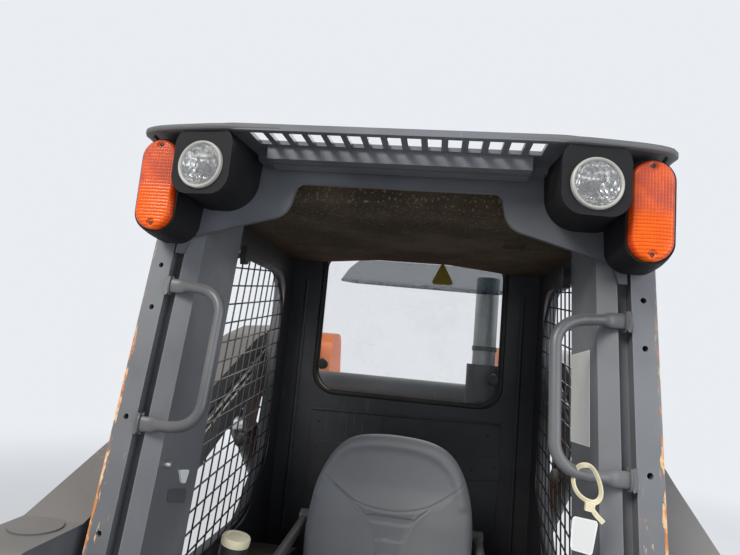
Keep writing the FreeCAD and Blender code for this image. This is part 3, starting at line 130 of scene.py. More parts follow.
class Tree:
    """A node tree that gains its nodes through one method."""

    def __init__(self, tree):
        self.tree = tree

    def node(self, kind, settings, sockets):
        """Add a node: its settings first, then its sockets by name or number, as values or links."""
        node = self.tree.nodes.new(kind)
        for key, value in settings.items():
            setattr(node, key, value)
        for key, value in sockets.items():
            if isinstance(value, Signal):
                self.tree.links.new(value.socket, node.inputs[key])
            else:
                node.inputs[key].default_value = value
        return Signal(self, node, next(socket for socket in node.outputs if socket.enabled))


class Finish(Tree):
    """One material: a Principled shader and the nodes that feed it."""

    def __init__(self, name, **settings):
        self.material = bpy.data.materials.new(name)
        self.material.use_nodes = True
        super().__init__(self.material.node_tree)
        self.shader = self.tree.nodes["Principled BSDF"]
        for key, value in settings.items():
            self.shader.inputs[key.replace("_", " ").title().replace("Ior", "IOR")].default_value = value
        self.place = self.node("ShaderNodeTexCoord", {}, {}).out("Object")

    def scaled(self, stretch):
        """Object coordinates, scaled along each axis if asked."""
        if stretch is None:
            return self.place
        return self.node("ShaderNodeMapping", {}, {"Vector": self.place, "Scale": stretch})

    def noise(self, scale, detail=4.0, roughness=.55, stretch=None):
        """Fractal noise from 0 to 1."""
        return self.node("ShaderNodeTexNoise", {}, {"Vector": self.scaled(stretch), "Scale": scale,
                                                    "Detail": detail, "Roughness": roughness})

    def cells(self, scale, stretch=None):
        """Distance to the nearest of scattered points."""
        return self.node("ShaderNodeTexVoronoi", {}, {"Vector": self.scaled(stretch), "Scale": scale})

    def mix(self, mask, first, second):
        """Colour that goes from first to second as the mask rises."""
        first, second = (colour if isinstance(colour, Signal) else (*colour, 1) for colour in (first, second))
        return self.node("ShaderNodeMix", {"data_type": "RGBA"}, {0: mask, 6: first, 7: second}).out(2)

    def part(self, vector, letter):
        """One coordinate of a vector."""
        return self.node("ShaderNodeSeparateXYZ", {}, {"Vector": vector}).out(letter)

    def axis(self, letter):
        """One coordinate of the object's place."""
        return self.part(self.place, letter)

    def normal(self):
        """The surface's true normal."""
        return self.node("ShaderNodeNewGeometry", {}, {}).out("Normal")

    def facing(self, letter="Z"):
        """How much the surface faces along an axis, from -1 to 1."""
        return self.part(self.normal(), letter)

    def edges(self, radius):
        """Near 1 on outer corners and 0 on flat faces, from a rounded normal against the true one."""
        soft = self.node("ShaderNodeBevel", {"samples": 4}, {"Radius": radius})
        dot = self.node("ShaderNodeVectorMath", {"operation": "DOT_PRODUCT"}, {0: soft, 1: self.normal()})
        return 1 - dot.out("Value")

    def feed(self, **links):
        """Link signals to the shader's sockets; bump is (height, strength, distance)."""
        for key, value in links.items():
            if key == "bump":
                key, sockets = "normal", dict(zip(("Height", "Strength", "Distance"), value))
                value = self.node("ShaderNodeBump", {}, sockets)
            self.tree.links.new(value.socket, self.shader.inputs[key.replace("_", " ").title()])
        return self.material

    def enamel(self, colour, dark, light, plus=0.0):
        """Paint's blotched colour between two shares of itself, and the grime that gathers on it."""
        blotch = self.noise(3.2, 3.0).step(.3, .7)
        return self.mix(blotch, toned(colour, dark), toned(colour, light, plus, 1)), self.noise(9.0, 6.0, .7)

    def chipped(self, radius, most_edge, start):
        """1 where a ragged chip lies: near a corner of the given radius, 0 on flat faces."""
        edge = self.edges(radius).least(most_edge)
        return ((edge * 2.4 + self.noise(38.0, 5.0, .65) * .9) - start).step(0.0, .08)

    def peel(self, fine, grime, marks):
        """Relief of paint: fine orange peel and grime, sunk where marks are given."""
        return self.noise(420.0, 2.0) * fine + grime - marks, .25, .0015


def toned(colour, share, plus=0.0, most=2.0):
    """A colour made lighter or darker, up to a most."""
    return tuple(min(most, c * share + plus) for c in colour)


def painted_steel(name, colour, under, chips, dust, gloss=.42):
    """Worn enamel: blotches, fine orange peel, chipped corners that show what is under, dust on top."""
    f = Finish(name, roughness=gloss, specular_ior_level=.45)
    base, grime = f.enamel(colour, .72, 1.28, .006)
    chipped = f.chipped(.003, .3, 1.55 - chips * .45)
    scratch = (f.noise(7.0, 2.0, .5, (14.0, 14.0, .8)) * f.noise(2.3, 2.0)).step(.40, .44)
    settled = (f.facing().step(.55, .95) * (dust + .25) + grime.step(.52, .85) * dust).clamp()
    base = f.mix(scratch * .45, base, toned(colour, 2.2, .02))
    base = f.mix(settled * .55, base, DUST)
    base = f.mix(chipped, base, f.mix(f.noise(60.0, 3.0).step(.35, .65), *under))
    return f.feed(base_color=base, roughness=gloss + settled * .3 + chipped * .25 + grime * .12,
                  bump=f.peel(.25, grime * .5, chipped * 1.2))


def moulded(name, colour, gloss, grain, dust, sheen=.4):
    """Grained moulded plastic or rubber with dust in its grain and paler, worn corners."""
    f = Finish(name, roughness=gloss, specular_ior_level=sheen)
    haze = f.noise(6.0, 5.0, .6)
    top = f.facing().step(.4, .95) * dust
    base = f.mix((haze.step(.45, .8) * dust + top).clamp(), colour, (.30, .26, .21))
    base = f.mix(f.edges(.004).step(.05, .5) * .35, base, toned(colour, 2.5, .02))
    return f.feed(base_color=base, roughness=gloss + haze * .22,
                  bump=(f.cells(grain) + haze * .4, .18, .0008))


def bare_steel(name, colour, rough, rust, stretch=None):
    """Plated or scraped steel: brushed streaks, spangle and a little rust."""
    f = Finish(name, metallic=1.0, roughness=rough)
    streak = f.noise(120.0, 3.0, .6, stretch)
    spots = f.noise(14.0, 6.0, .7).step(.72 - rust * .3, .86 - rust * .3)
    base = f.mix(spots * .8, f.mix(streak.step(.3, .7), toned(colour, .75), colour), RUST)
    return f.feed(base_color=base, metallic=1 - spots * .85, bump=(streak + spots * 1.5, .12, .001),
                  roughness=rough + streak * .15 + spots * .4 + f.cells(90.0) * .08)


def plain(name, colour, rough, metal=0.0):
    """Even coat or plating with a faint, broad change of tone and sheen."""
    f = Finish(name, metallic=metal, roughness=rough)
    cloud = f.noise(7.0, 4.0, .6).step(.3, .7)
    return f.feed(base_color=f.mix(cloud, toned(colour, .75), colour), roughness=rough + cloud * .12)


def glassy(name, colour, rough, alpha, dirt=.06):
    """Clear pane: see-through by its alpha, with a haze of dirt and a few specks."""
    f = Finish(name, base_color=(*colour, 1), roughness=rough, ior=1.5)
    haze = f.noise(5.0, 6.0, .65).step(.45, .9)
    specks = f.noise(160.0, 2.0, .5).step(.68, .72)
    return f.feed(alpha=(alpha + haze * dirt + specks * dirt * 4).clamp(), roughness=rough + haze * .2)


def dotted_tint(name, low, high):
    """Tint film: darker towards its lower edge, where a grain of dots grows denser."""
    f = Finish(name, roughness=.25)
    edge = 1 - f.axis("Z").step(low, high)
    dots = ((.10 + edge * .46) - f.cells(250.0)).step(0.0, .05)
    return f.feed(base_color=f.mix(dots, (.11, .17, .22), (.010, .014, .020)),
                  alpha=(.48 + dots * .46).clamp())


def lens_plastic(name, deep, bright, pale, middle):
    """Coloured lens: saturated below and paler above its middle, with painted shade: dark lines in the
    grooves where ribs and flutes meet, and a deeper colour on faces that turn sideways.
    """
    f = Finish(name, roughness=.3, coat_weight=.1, coat_roughness=.12, specular_ior_level=.2,
               emission_strength=.03)
    height = f.axis("Z") - middle
    rib = (height * (math.pi / RIB_PITCH)).wave().size()
    flute = ((f.axis("X").size() - float(LENS_PLACE[0])) * (math.pi / FLUTE_PITCH)).wave().size()
    low = 1 - height.step(-.022, .014)
    line = ((1 - rib).step(.55, .92) * (.25 + .75 * low)).most((1 - flute).step(.62, .95) * (.7 - .35 * low))
    # Painted shade: faces that turn sideways take a deeper colour
    base = f.mix(f.facing("X").size().step(.25, .75) * .75, f.mix(low, pale, bright), toned(deep, 1.3))
    base = f.mix(f.noise(34.0, 2.0, .5).step(.35, .7) * .4, base, toned(bright, 1.25, .01, 1))
    # Painted shade: the grooves' lines take the deep colour
    base = f.mix(line * .8, base, deep)
    return f.feed(base_color=base, emission_color=base, roughness=.28 + line * .15)


def mirror_bowl(name):
    """Silvered reflector: plating whose small fields differ in tone from near black to near white, a painted
    reflection of facets that look different ways.
    """
    f = Finish(name, metallic=.9, roughness=.22)
    tone = f.cells(105.0, (1.6, 1.0, .8)).out("Color") + 0.0
    fine = f.cells(260.0, (.7, 1.0, 1.5)).out("Color") + 0.0
    # Painted reflection: dark and bright fields stand for what the facets mirror
    base = f.mix((tone * .65 + fine * .35).step(.25, .75), (.05, .052, .056), (.78, .78, .76))
    return f.feed(base_color=base, roughness=.12 + fine * .14)


def scuffed_posts(name, colour):
    """Post enamel that feet and tools have scraped: chips along its outer corner, long upright scratches."""
    f = Finish(name, roughness=.44, specular_ior_level=.45)
    out, up = f.axis("X").size(), f.axis("Z")
    base, grime = f.enamel(colour, .82, 1.22)
    below = 1 - up.step(1.62, 1.80)
    corner = out.step(.474, .4885) * (f.facing("Y") * -1.0).step(-.3, .5)
    ragged = f.noise(30.0, 5.0, .7, (2.2, 2.2, .42))
    chips = ((corner * .34 + ragged) - (.83 - below * .03)).step(0.0, .035) * (.25 + .75 * below)
    streak = (f.noise(16.0, 3.0, .6, (9.0, 9.0, .45)) + f.noise(2.6, 1.0) * .25).step(.80, .83)
    bare = chips.most(streak * out.step(.440, .446) * (1 - up.step(1.35, 1.66)))
    rub = f.noise(14.0, 4.0, .6, (3.0, 3.0, .6)).step(.52, .75) * corner
    nicks = (f.noise(85.0, 3.0, .6) * .7 + f.edges(.005) * 1.4).step(.66, .72)
    base = f.mix(grime.step(.5, .85) * .25, base, (.30, .27, .23))
    base = f.mix(rub * .45, base, (.34, .33, .33))
    base = f.mix(nicks * .6, base, (.26, .25, .24))
    base = f.mix(bare, base, f.mix(f.noise(46.0, 3.0).step(.42, .6), (.56, .20, .06), (.72, .50, .27)))
    return f.feed(base_color=base, roughness=.42 + grime * .14 + bare * .25,
                  bump=f.peel(.2, grime * .4, bare * 1.4))


def lining(name, colour):
    """Felt-like moulded lining: fibres, brown stains and pale specks that grow denser towards its front edge.
    """
    f = Finish(name, roughness=.95, specular_ior_level=.15)
    fibre, stain = f.noise(520.0, 3.0, .7), f.noise(4.2, 6.0, .65)
    front = 1 - f.axis("Y").step(-.34, -.12)
    grit = f.noise(150.0, 3.0, .65).step(.56, .66)
    base = f.mix(stain.step(.35, .7), toned(colour, .6), toned(colour, 1.35))
    # Pale specks, denser towards the front edge
    base = f.mix(grit * (.25 + .5 * front), base, (.32, .27, .17))
    base = f.mix(fibre.step(.4, .7) * .3, base, (.05, .042, .035))
    return f.feed(base_color=base, bump=(fibre + grit * .8 + stain, .35, .0012))


def two_sided(name, colour, inner, at):
    """Cab wall's enamel outside, and on its inner face, nearer the middle than a place, a near-black coat
    that is painted shade inside the cab.
    """
    f = Finish(name, roughness=.45, specular_ior_level=.45)
    base, grime = f.enamel(colour, .75, 1.25)
    chipped = f.chipped(.005, 1.0, 1.32)
    # Painted shade: the inner face takes the dark inner colour in place of the enamel
    base = f.mix(1 - f.axis("X").size().step(at, at + .002), base, inner)
    base = f.mix(grime.step(.52, .85) * .2, base, DUST)
    base = f.mix(chipped, base, (.55, .27, .10))
    return f.feed(base_color=base, roughness=.42 + grime * .2, bump=f.peel(.25, grime * .5, chipped))


def make_finishes():
    """Every finish by name: those of the record's slots, of single nodes and of small pieces."""
    primer = ((.24, .22, .20), (.52, .25, .11))
    rusted = ((.20, .09, .045), (.11, .07, .05))
    rows = {
        # Colour, what is under it, chips, dust, gloss
        painted_steel: {
            "cab_grey": ((.108, .113, .127), primer, .45, .16),
            "arm_grey": ((.13, .135, .145), primer, .5, .3),
            "handle_grey": ((.098, .098, .103), ((.3, .3, .3), (.38, .27, .13)), .5, .10, .32),
            "body_orange": ((.78, .185, .025), ((.2, .2, .2), (.25, .12, .06)), .35, .10),
            "chassis_black": ((.032, .033, .036), rusted, .6, .5, .5),
            "screen_black": ((.022, .022, .024), rusted, .2, .2),
            "cylinder_black": ((.035, .036, .04), rusted, .4, .3),
            "rim_paint": ((.70, .17, .03), rusted, .6, .5),
            "bucket_steel": ((.075, .075, .08), rusted, 1.1, .5, .5),
            "engine_iron": ((.05, .05, .052), rusted, .5, .5),
            "sleeve_black": ((.02, .021, .023), rusted, .3, .3),
            # Cab inside: the charcoal darkened to near black, painted shade inside the cab
            "cab_inside": ((.020, .021, .025), ((.12, .11, .1), (.2, .12, .07)), .3, .14, .5),
            "visor_worn": ((.105, .105, .11), ((.3, .2, .12), (.2, .18, .16)), .6, .25, .5)},
        # Colour, gloss, grain, dust, sheen
        moulded: {
            "lamp_black": ((.016, .016, .018), .38, 1100.0, .08),
            "lamp_pods": ((.009, .009, .0105), .58, 1100.0, .04, .22),
            "seal_rubber": ((.013, .013, .013), .55, 700.0, .15),
            "console_plastic": ((.035, .035, .038), .55, 600.0, .35),
            "lever_black": ((.02, .02, .021), .45, 800.0, .2),
            "tyre_rubber": ((.022, .021, .02), .75, 320.0, .75),
            "seat_vinyl": ((.225, .232, .245), .5, 1500.0, .06),
            "tag_yellow": ((.23, .155, .012), .5, 500.0, .1),
            "cream_plastic": ((.70, .64, .44), .42, 700.0, .25),
            "tag_white": ((.68, .68, .66), .6, 300.0, .35)},
        # Colour, roughness, rust, stretch
        bare_steel: {
            "stack_steel": ((.42, .43, .43), .42, .35, (1, 1, .25)),
            "line_steel": ((.62, .6, .52), .3, .2),
            "rod_chrome": ((.78, .79, .8), .1, 0.0)},
        # Colour, roughness, metal
        plain: {
            "screen_wire": ((.017, .017, .018), .42),
            "hydraulic_lines": ((.40, .40, .37), .38, .85),
            "lamp_ring": ((.47, .455, .41), .35),
            "dark_screws": ((.07, .066, .06), .45, .7),
            "stud_zinc": ((.50, .50, .47), .36, .8),
            "patch_grey": ((.060, .063, .070), .62)},
        # Colour, roughness, alpha, dirt
        glassy: {
            "window_glass": ((.55, .62, .62), .04, .07),
            "lamp_clear": ((.85, .87, .88), .03, .05, .03)},
        # Colours of its lines, ribs and flutes, and its middle's height
        lens_plastic: {
            "lens_amber": ((.30, .016, .002), (.80, .112, .002), (.46, .075, .035), float(LENS_PLACE[2])),
            "lens_red": ((.16, .004, .003), (.50, .012, .008), (.42, .015, .012), 1.295)},
        lining: {"headliner_moulding": ((.095, .072, .050),)},
        # Posts: the same charcoal as the cab's grey, set lighter as painted sunlight
        scuffed_posts: {"cab_posts": ((.128, .132, .142),)},
        # Cab sides: outside colour, the inner face's colour that is painted shade, and the place across that
        # parts them
        two_sided: {"cab_sides": ((.098, .104, .118), (.022, .023, .027), .452)},
        dotted_tint: {"window_tint": (1.944, 1.985)},
        mirror_bowl: {"bowl_silver": ()}}
    finishes = {name: make(name, *values) for make, table in rows.items() for name, values in table.items()}
    # The rear wall's node takes the same painted shade of the cab's inside
    return finishes | {"cab_rear_wall": finishes["cab_inside"]}


def dress_nodes():
    """Give every carried-over node its own finish, or its slot's."""
    for part in frame["record"]["subparts"]:
        materials = frame["nodes"][part["node"]].data.materials
        materials.clear()
        materials.append(FINISHES.get(part["node"]) or FINISHES[part["material_slot"]])


def make_stage():
    """Pale floor that passes into an even backdrop, and a soft studio light."""
    size = 40.0
    mesh = bpy.data.meshes.new("floor")
    corners = [(*corner, 0) for corner in oblong(-size, size, -size, size)]
    mesh.from_pydata(corners, [], [(0, 1, 2, 3)])
    floor = placed(bpy.data.objects.new("floor", mesh))
    f = Finish("floor_pale", roughness=.85)
    f.feed(base_color=f.mix(f.noise(1.1, 4.0), (.66, .66, .65), (.72, .72, .71)))
    far = f.node("ShaderNodeVectorMath", {"operation": "LENGTH"}, {0: f.place}).out("Value").step(3.2, 9.0)
    seen = f.node("ShaderNodeLightPath", {}, {})
    seen = (seen.out("Is Camera Ray") + seen.out("Is Glossy Ray") + seen.out("Is Transmission Ray")).clamp()
    sky = f.node("ShaderNodeEmission", {}, {"Color": BACKDROP, "Strength": 1.0})
    paint = Signal(f, f.shader, f.shader.outputs[0])
    swap = f.node("ShaderNodeMixShader", {}, {0: far * seen, 1: paint, 2: sky})
    f.tree.links.new(swap.socket, f.tree.nodes["Material Output"].inputs["Surface"])
    mesh.materials.append(f.material)
    world = bpy.data.worlds.new("studio")
    bpy.context.scene.world = world
    world.use_nodes = True
    around = Tree(world.node_tree)
    soft = around.tree.nodes["Background"]
    soft.inputs["Color"].default_value = (.80, .87, 1, 1)
    soft.inputs["Strength"].default_value = .50
    rays = around.node("ShaderNodeLightPath", {}, {})
    factor = rays.out("Is Camera Ray").most(rays.out("Is Transmission Ray")).most(rays.out("Is Glossy Ray"))
    backdrop = around.node("ShaderNodeBackground", {}, {"Color": BACKDROP})
    soft = Signal(around, soft, soft.outputs[0])
    swap = around.node("ShaderNodeMixShader", {}, {0: factor, 1: soft, 2: backdrop})
    around.tree.links.new(swap.socket, around.tree.nodes["World Output"].inputs["Surface"])
    # Lamps: name, place, aim, side in metres, power in watts, colour
    for name, place, aim, side, power, colour in (
            ("key", (-2.6, -4.6, 5.4), (0, -.3, 1.2), 2.2, 320, (1.0, .965, .91)),
            ("fill", (4.2, -3.4, 2.6), (0, 0, 1.2), 3.5, 130, (.9, .95, 1.0)),
            ("back", (1.5, 5.0, 4.5), (0, .5, 1.2), 3.5, 190, (1.0, .98, .95))):
        data = bpy.data.lights.new(name, "AREA")
        data.size, data.energy, data.color = side, power, colour
        lamp = placed(bpy.data.objects.new(name, data))
        lamp.location = place
        lamp.rotation_euler = (Vector(aim) - Vector(place)).to_track_quat("-Z", "Y").to_euler()
    bpy.context.scene.view_settings.view_transform = "Standard"


class Shape:
    """Points of a surface and its faces as whole arrays; shapes add up, move and mirror as wholes."""

    def __init__(self, points, faces):
        self.points = np.reshape(np.asarray(points, float), (-1, 3))
        self.faces = [np.asarray(block, int) for block in faces]

    def __add__(self, other):
        return joined((self, other))

    def moved(self, by):
        return Shape(self.points + np.asarray(by), self.faces)

    def mirrored(self):
        """The same on the machine's other side, with its faces turned to keep pointing outwards."""
        return Shape(self.points * (-1, 1, 1), [block[:, ::-1] for block in self.faces])

    def paired(self):
        return self + self.mirrored()


def joined(shapes):
    """Many shapes as one, each block of faces shifted by the points before it."""
    shapes = list(shapes)
    starts = np.cumsum([0] + [len(shape.points) for shape in shapes])
    blocks = [block + start for shape, start in zip(shapes, starts) for block in shape.faces]
    return Shape(np.vstack([shape.points for shape in shapes]), blocks)


def xyz(x, y, z):
    """Points from three coordinates, each an array or one value for all."""
    return np.stack(np.broadcast_arrays(x, y, z), -1)


def unit(vectors):
    """Vectors divided by their lengths."""
    vectors = np.asarray(vectors, float)
    return vectors / np.maximum(np.linalg.norm(vectors, axis=-1, keepdims=True), 1e-12)


def smooth(value, low, high):
    """0 below low, 1 above high, and 3t² - 2t³ between."""
    t = np.clip((value - low) / (high - low), 0, 1)
    return t * t * (3 - 2 * t)


def web(points, wrap_rows=False, wrap_columns=True, caps=False):
    """Quads between the neighbours of a grid of points; caps close its first and last ring."""
    rows, columns = points.shape[:2]
    i, j = np.mgrid[:rows - (not wrap_rows), :columns - (not wrap_columns)]
    i2, j2 = (i + 1) % rows, (j + 1) % columns
    quads = np.stack((i * columns + j, i * columns + j2, i2 * columns + j2, i2 * columns + j), -1)
    quads = quads.reshape(-1, 4)
    ring = np.arange(columns)
    return Shape(points, [quads] + ([ring[None, ::-1], (ring + (rows - 1) * columns)[None]] if caps else []))


def across(along, up=Z):
    """Two unit vectors square to each direction in along: its cross with up, and the cross of both."""
    along = unit(along)
    side = unit(np.cross(along, np.broadcast_to(np.asarray(up, float), along.shape)))
    return side, np.cross(side, along)


def lathe(profile, place, along, steps=32, ring=False):
    """(radius, height) pairs turned round an axis: place + along·height + radius·(side·cos + other·sin).
    A ring joins its last pair to its first and stays open in the middle."""
    radius, height = np.asarray(profile, float).T[:, :, None]
    side, other = across(along, Y if abs(unit(along)[2]) > .99 else Z)
    angle = np.arange(steps) * math.tau / steps
    round_it = side * np.cos(angle)[:, None] + other * np.sin(angle)[:, None]
    points = np.asarray(place) + unit(along) * height[..., None] + radius[..., None] * round_it
    return web(points, wrap_rows=ring, caps=not ring)


def circle(count, radius, start=0.0):
    """Evenly turned places on a circle in the side view."""
    turn = np.arange(count) * math.tau / count + start
    return xyz(0, radius * np.cos(turn), radius * np.sin(turn))


def rounded(corners, rounds=3, closed=False, keep=.25):
    """Corners cut to a smooth line: each round puts two points at keep and 1 - keep of every run."""
    line = np.asarray(corners, float)
    for _ in range(rounds):
        after = np.roll(line, -1, 0) if closed else line[1:]
        before = line if closed else line[:-1]
        short = (after - before) * keep
        cut = np.stack((before + short, after - short), 1).reshape(-1, line.shape[1])
        line = cut if closed else np.vstack((line[:1], cut, line[-1:]))
    return line


def evenly(line, count, closed=False):
    """Points at equal lengths along a line, by interpolating over its running length."""
    line = np.vstack((line, line[:1])) if closed else np.asarray(line, float)
    run = np.concatenate(([0], np.cumsum(np.linalg.norm(np.diff(line, axis=0), axis=1))))
    at = np.linspace(0, run[-1], count, endpoint=not closed)
    return np.stack([np.interp(at, run, line[:, k]) for k in range(line.shape[1])], 1)


def sweep(path, wide, high=None, sides=12, up=Z, closed=False, power=2.0):
    """A tube along a path: path + side·wide·c + other·high·s, with c and s a superellipse of a power."""
    path = np.asarray(path, float)
    along = np.roll(path, -1, 0) - np.roll(path, 1, 0) if closed else np.gradient(path, axis=0)
    side, other = across(along, up)
    angle = (np.arange(sides) + .5) * math.tau / sides
    c, s = (np.sign(part) * np.abs(part) ** (2 / power) for part in (np.cos(angle), np.sin(angle)))
    wide = np.broadcast_to(wide, len(path))[:, None, None]
    high = wide if high is None else np.broadcast_to(high, len(path))[:, None, None]
    points = path[:, None] + side[:, None] * wide * c[:, None] + other[:, None] * high * s[:, None]
    return web(points, wrap_rows=closed, caps=not closed)


def slab(outline, depth):
    """A flat outline in space and the same outline carried by depth, with walls between them."""
    outline = np.asarray(outline, float)
    return web(np.stack((outline, outline + np.asarray(depth, float))), caps=True)


def oblong(left, right, low, high):
    """Corners of an upright rectangle."""
    return (left, low), (right, low), (right, high), (left, high)


def in_space(line, axis, at):
    """Points in space of a flat line square to an axis (0, 1 or 2), at a place or places on it."""
    return np.insert(line, axis, at, axis=1)


def plate(corners, axis, at, thick, rounds=2, keep=.1):
    """Flat plate with rounded corners, square to an axis and thick along it. Its place on the axis is a
    number, or a function of the corners' second coordinate."""
    line = rounded(corners, rounds, closed=True, keep=keep)
    return slab(in_space(line, axis, at(line[:, 1]) if callable(at) else at), np.eye(3)[axis] * thick)


def hexagon_bolt(place, along, radius, tall=.8):
    """A washer and a six-sided head whose corners are chamfered by a cone."""
    washer = np.array(((0, 0), (1.35, 0), (1.45, .06), (1.45, .16), (1.35, .22), (0, .22)))
    head = np.array(((0, .2), (1, .2), (1, tall), (.86, tall + .16), (0, tall + .18)))
    return lathe(washer * radius, place, along, 24) + lathe(head * radius, place, along, 6)


def screw(place, radius):
    """A low domed head that looks ahead, with a cross cut in it where a coordinate is near the middle."""
    ring = np.linspace(0, 1, 12)[:, None]
    angle = np.arange(32)[None] * math.tau / 32
    side, other = across(-Y)
    x, y = ring * np.cos(angle), ring * np.sin(angle)
    slot = np.maximum(*(smooth(-np.abs(near), -.22, -.12) * (np.abs(far) < .7) for near,
                        far in ((x, y), (y, x))))
    high = radius * (.42 * np.sqrt(np.maximum(1 - ring ** 2, 0)) - .25 * slot * (ring < .8))
    points = np.asarray(place) + radius * (x[..., None] * side + y[..., None] * other) - high[..., None] * Y
    return web(points, caps=True)


def piece(name, shape, slot, finish=None, body="chassis", replaces=(), sharp=35, bevel=0.0):
    """Put a shape into a mesh object with the slot's finish unless another is named, and ride it on its body;
    close points are welded and faces turned outwards."""
    mesh = bpy.data.meshes.new(name)
    mesh.from_pydata(shape.points.tolist(), [], [face for block in shape.faces for face in block.tolist()])
    work = bmesh.new()
    work.from_mesh(mesh)
    bmesh.ops.remove_doubles(work, verts=work.verts, dist=2e-5)
    bmesh.ops.dissolve_degenerate(work, edges=work.edges, dist=1e-6)
    bmesh.ops.recalc_face_normals(work, faces=work.faces)
    work.to_mesh(mesh)
    work.free()
    mesh.shade_smooth()
    mesh.set_sharp_from_angle(angle=math.radians(sharp))
    mesh.materials.append(FINISHES[finish or slot])
    thing = placed(bpy.data.objects.new(name, mesh))
    if bevel:
        edge = thing.modifiers.new("worn_edge", "BEVEL")
        edge.width, edge.segments, edge.limit_method = bevel, 2, "ANGLE"
        edge.angle_limit = math.radians(40)
        edge.harden_normals = True
    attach(thing, body)
    if replaces:
        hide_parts(*replaces)
    return thing


def nearness(points, line):
    """Distance of every point from a line of straight runs, by its nearest point on each run."""
    line = np.asarray(line, float)
    start, run = line[:-1], np.diff(line, axis=0)
    flat = points.reshape(-1, 1, points.shape[-1])
    share = np.clip(((flat - start) * run).sum(-1) / (run ** 2).sum(-1), 0, 1)
    gap = np.linalg.norm(flat - start - share[..., None] * run, axis=-1)
    return gap.min(1).reshape(points.shape[:-1])


def by_angle(outline, centre, count):
    """Reach of a closed outline from a centre, at even angles: the radius interpolated over the angle."""
    arm = np.asarray(outline, float) - centre
    angle, reach = np.arctan2(arm[:, 1], arm[:, 0]) % math.tau, np.linalg.norm(arm, axis=1)
    order = np.argsort(angle)
    at = np.arange(count) * math.tau / count
    return np.interp(at, angle[order], reach[order], period=math.tau), at


def pad(outline, centre, meridian, relief, rings, turns):
    """Crowned pad. A ring is the outline drawn in by a share, set at a depth, both read along the meridian;
    relief(a, b) then moves the front's points along the depth."""
    meridian = evenly(rounded(meridian, 2), rings)
    reach, angle = by_angle(outline, centre, turns)
    share, depth = meridian[:, :1], meridian[:, 1:]
    a = centre[0] + share * reach * np.cos(angle)
    b = centre[1] + share * reach * np.sin(angle)
    front = smooth(-np.arange(rings)[:, None], -rings * .62, -rings * .5)
    return a, b, depth + front * relief(a, b)


def bump(distance, width):
    """Bell of height 1: e to the power of -(distance/width)²."""
    return np.exp(-(distance / width) ** 2)


def seam(gap, deep, width=.0026, puff=.35):
    """Groove at a seam with a soft swell on both sides: a narrow bell, less a share of a wider one."""
    return deep * (bump(gap, width) - puff * bump(gap, 3.2 * width))


SEAT_CENTRE = np.array((0, 1.21))
SEAT_OUTLINE = ((-.228, 1.125), (-.230, 1.181), (-.226, 1.235), (-.214, 1.31), (-.198, 1.36), (-.175, 1.407),
                (-.147, 1.44), (-.112, 1.462), (-.062, 1.472), (-.005, 1.475), (.050, 1.473), (.103, 1.467),
                (.145, 1.452), (.176, 1.428), (.200, 1.392), (.216, 1.355), (.229, 1.305), (.235, 1.25),
                (.236, 1.188), (.234, 1.125), (.226, 1.05), (.205, .985), (.17, .945), (.10, .932),
                (-.10, .932),
                (-.17, .945), (-.203, .985), (-.222, 1.05))
SMILE_SEAM = ((-.235, 1.40), (-.186, 1.352), (-.153, 1.327), (-.105, 1.297), (-.062, 1.282), (-.017, 1.275),
              (.035, 1.276), (.085, 1.287), (.128, 1.306), (.169, 1.334), (.206, 1.37), (.25, 1.42))
LEFT_SEAM = ((-.152, 1.328), (-.092, 1.290), (-.060, 1.262), (-.040, 1.230), (-.028, 1.196), (-.022, 1.163),
             (-.020, .93))
RIGHT_SEAM = ((.118, 1.298), (.080, 1.265), (.062, 1.232), (.052, 1.200), (.047, 1.165), (.045, .93))
RIM_RIDGE = ((-.206, 1.30), (-.196, 1.338), (-.176, 1.384), (-.152, 1.416), (-.118, 1.438), (-.072, 1.449),
             (-.015, 1.452), (.045, 1.451), (.096, 1.444), (.136, 1.428), (.166, 1.402), (.188, 1.366),
             (.203, 1.315))


def seat_relief(a, b):
    """Seat front: a dished head panel in a raised rim, crowned bolsters, a stepped strip between seams."""
    points = np.stack((a, b), -1)
    panel = np.clip(1 - (a / .19) ** 2 - ((b - 1.37) / .105) ** 2, 0, 1)
    bolster = bump(np.abs(a - .006) - .14, .075) * (1 - smooth(b, 1.24, 1.34)) * smooth(b, .95, 1.02)
    lift = .015 * smooth(b, 1.27, 1.345) * np.sqrt(panel) - .013 * bolster
    lift -= .0075 * bump(nearness(points, RIM_RIDGE), .014)
    left, right = (np.interp(b, *np.transpose(line[::-1])[::-1]) for line in (LEFT_SEAM, RIGHT_SEAM))
    strip_top, pitch = 1.262, .043
    strip = smooth(a, left, left + .006) * smooth(-a, -right, .006 - right)
    strip *= 1 - smooth(b, strip_top, strip_top + .014)
    way = (-(b - .9 * (a - .012) ** 2 - 1.243) / pitch) % 1.0
    lift += strip * np.where(b < strip_top, .0045 * way + .0015, .001)
    lift += strip * .0022 * bump((way - .04) * pitch, .0022) * (b < strip_top - .012)
    for line, deep in ((SMILE_SEAM, .0042), (LEFT_SEAM, .0040), (RIGHT_SEAM, .0040)):
        lift += seam(nearness(points, rounded(line, 2)), deep)
    return lift


def cushion_relief(a, b):
    """Cushion top: a hollow for the legs between crowned sides, three cross channels and an edge seam."""
    inner = np.maximum(np.abs(a) / .165, np.abs(b + .165) / .17)
    rise = .016 * bump(np.abs(a) - .165, .05) + .012 * smooth(-b, .25, .38)
    channel = sum(bump(b - at + .25 * a ** 2, .0035) for at in (-.27, -.18, -.09))
    return -(rise - .004 * channel * (inner < .93) - .004 * bump(inner - 1, .022))


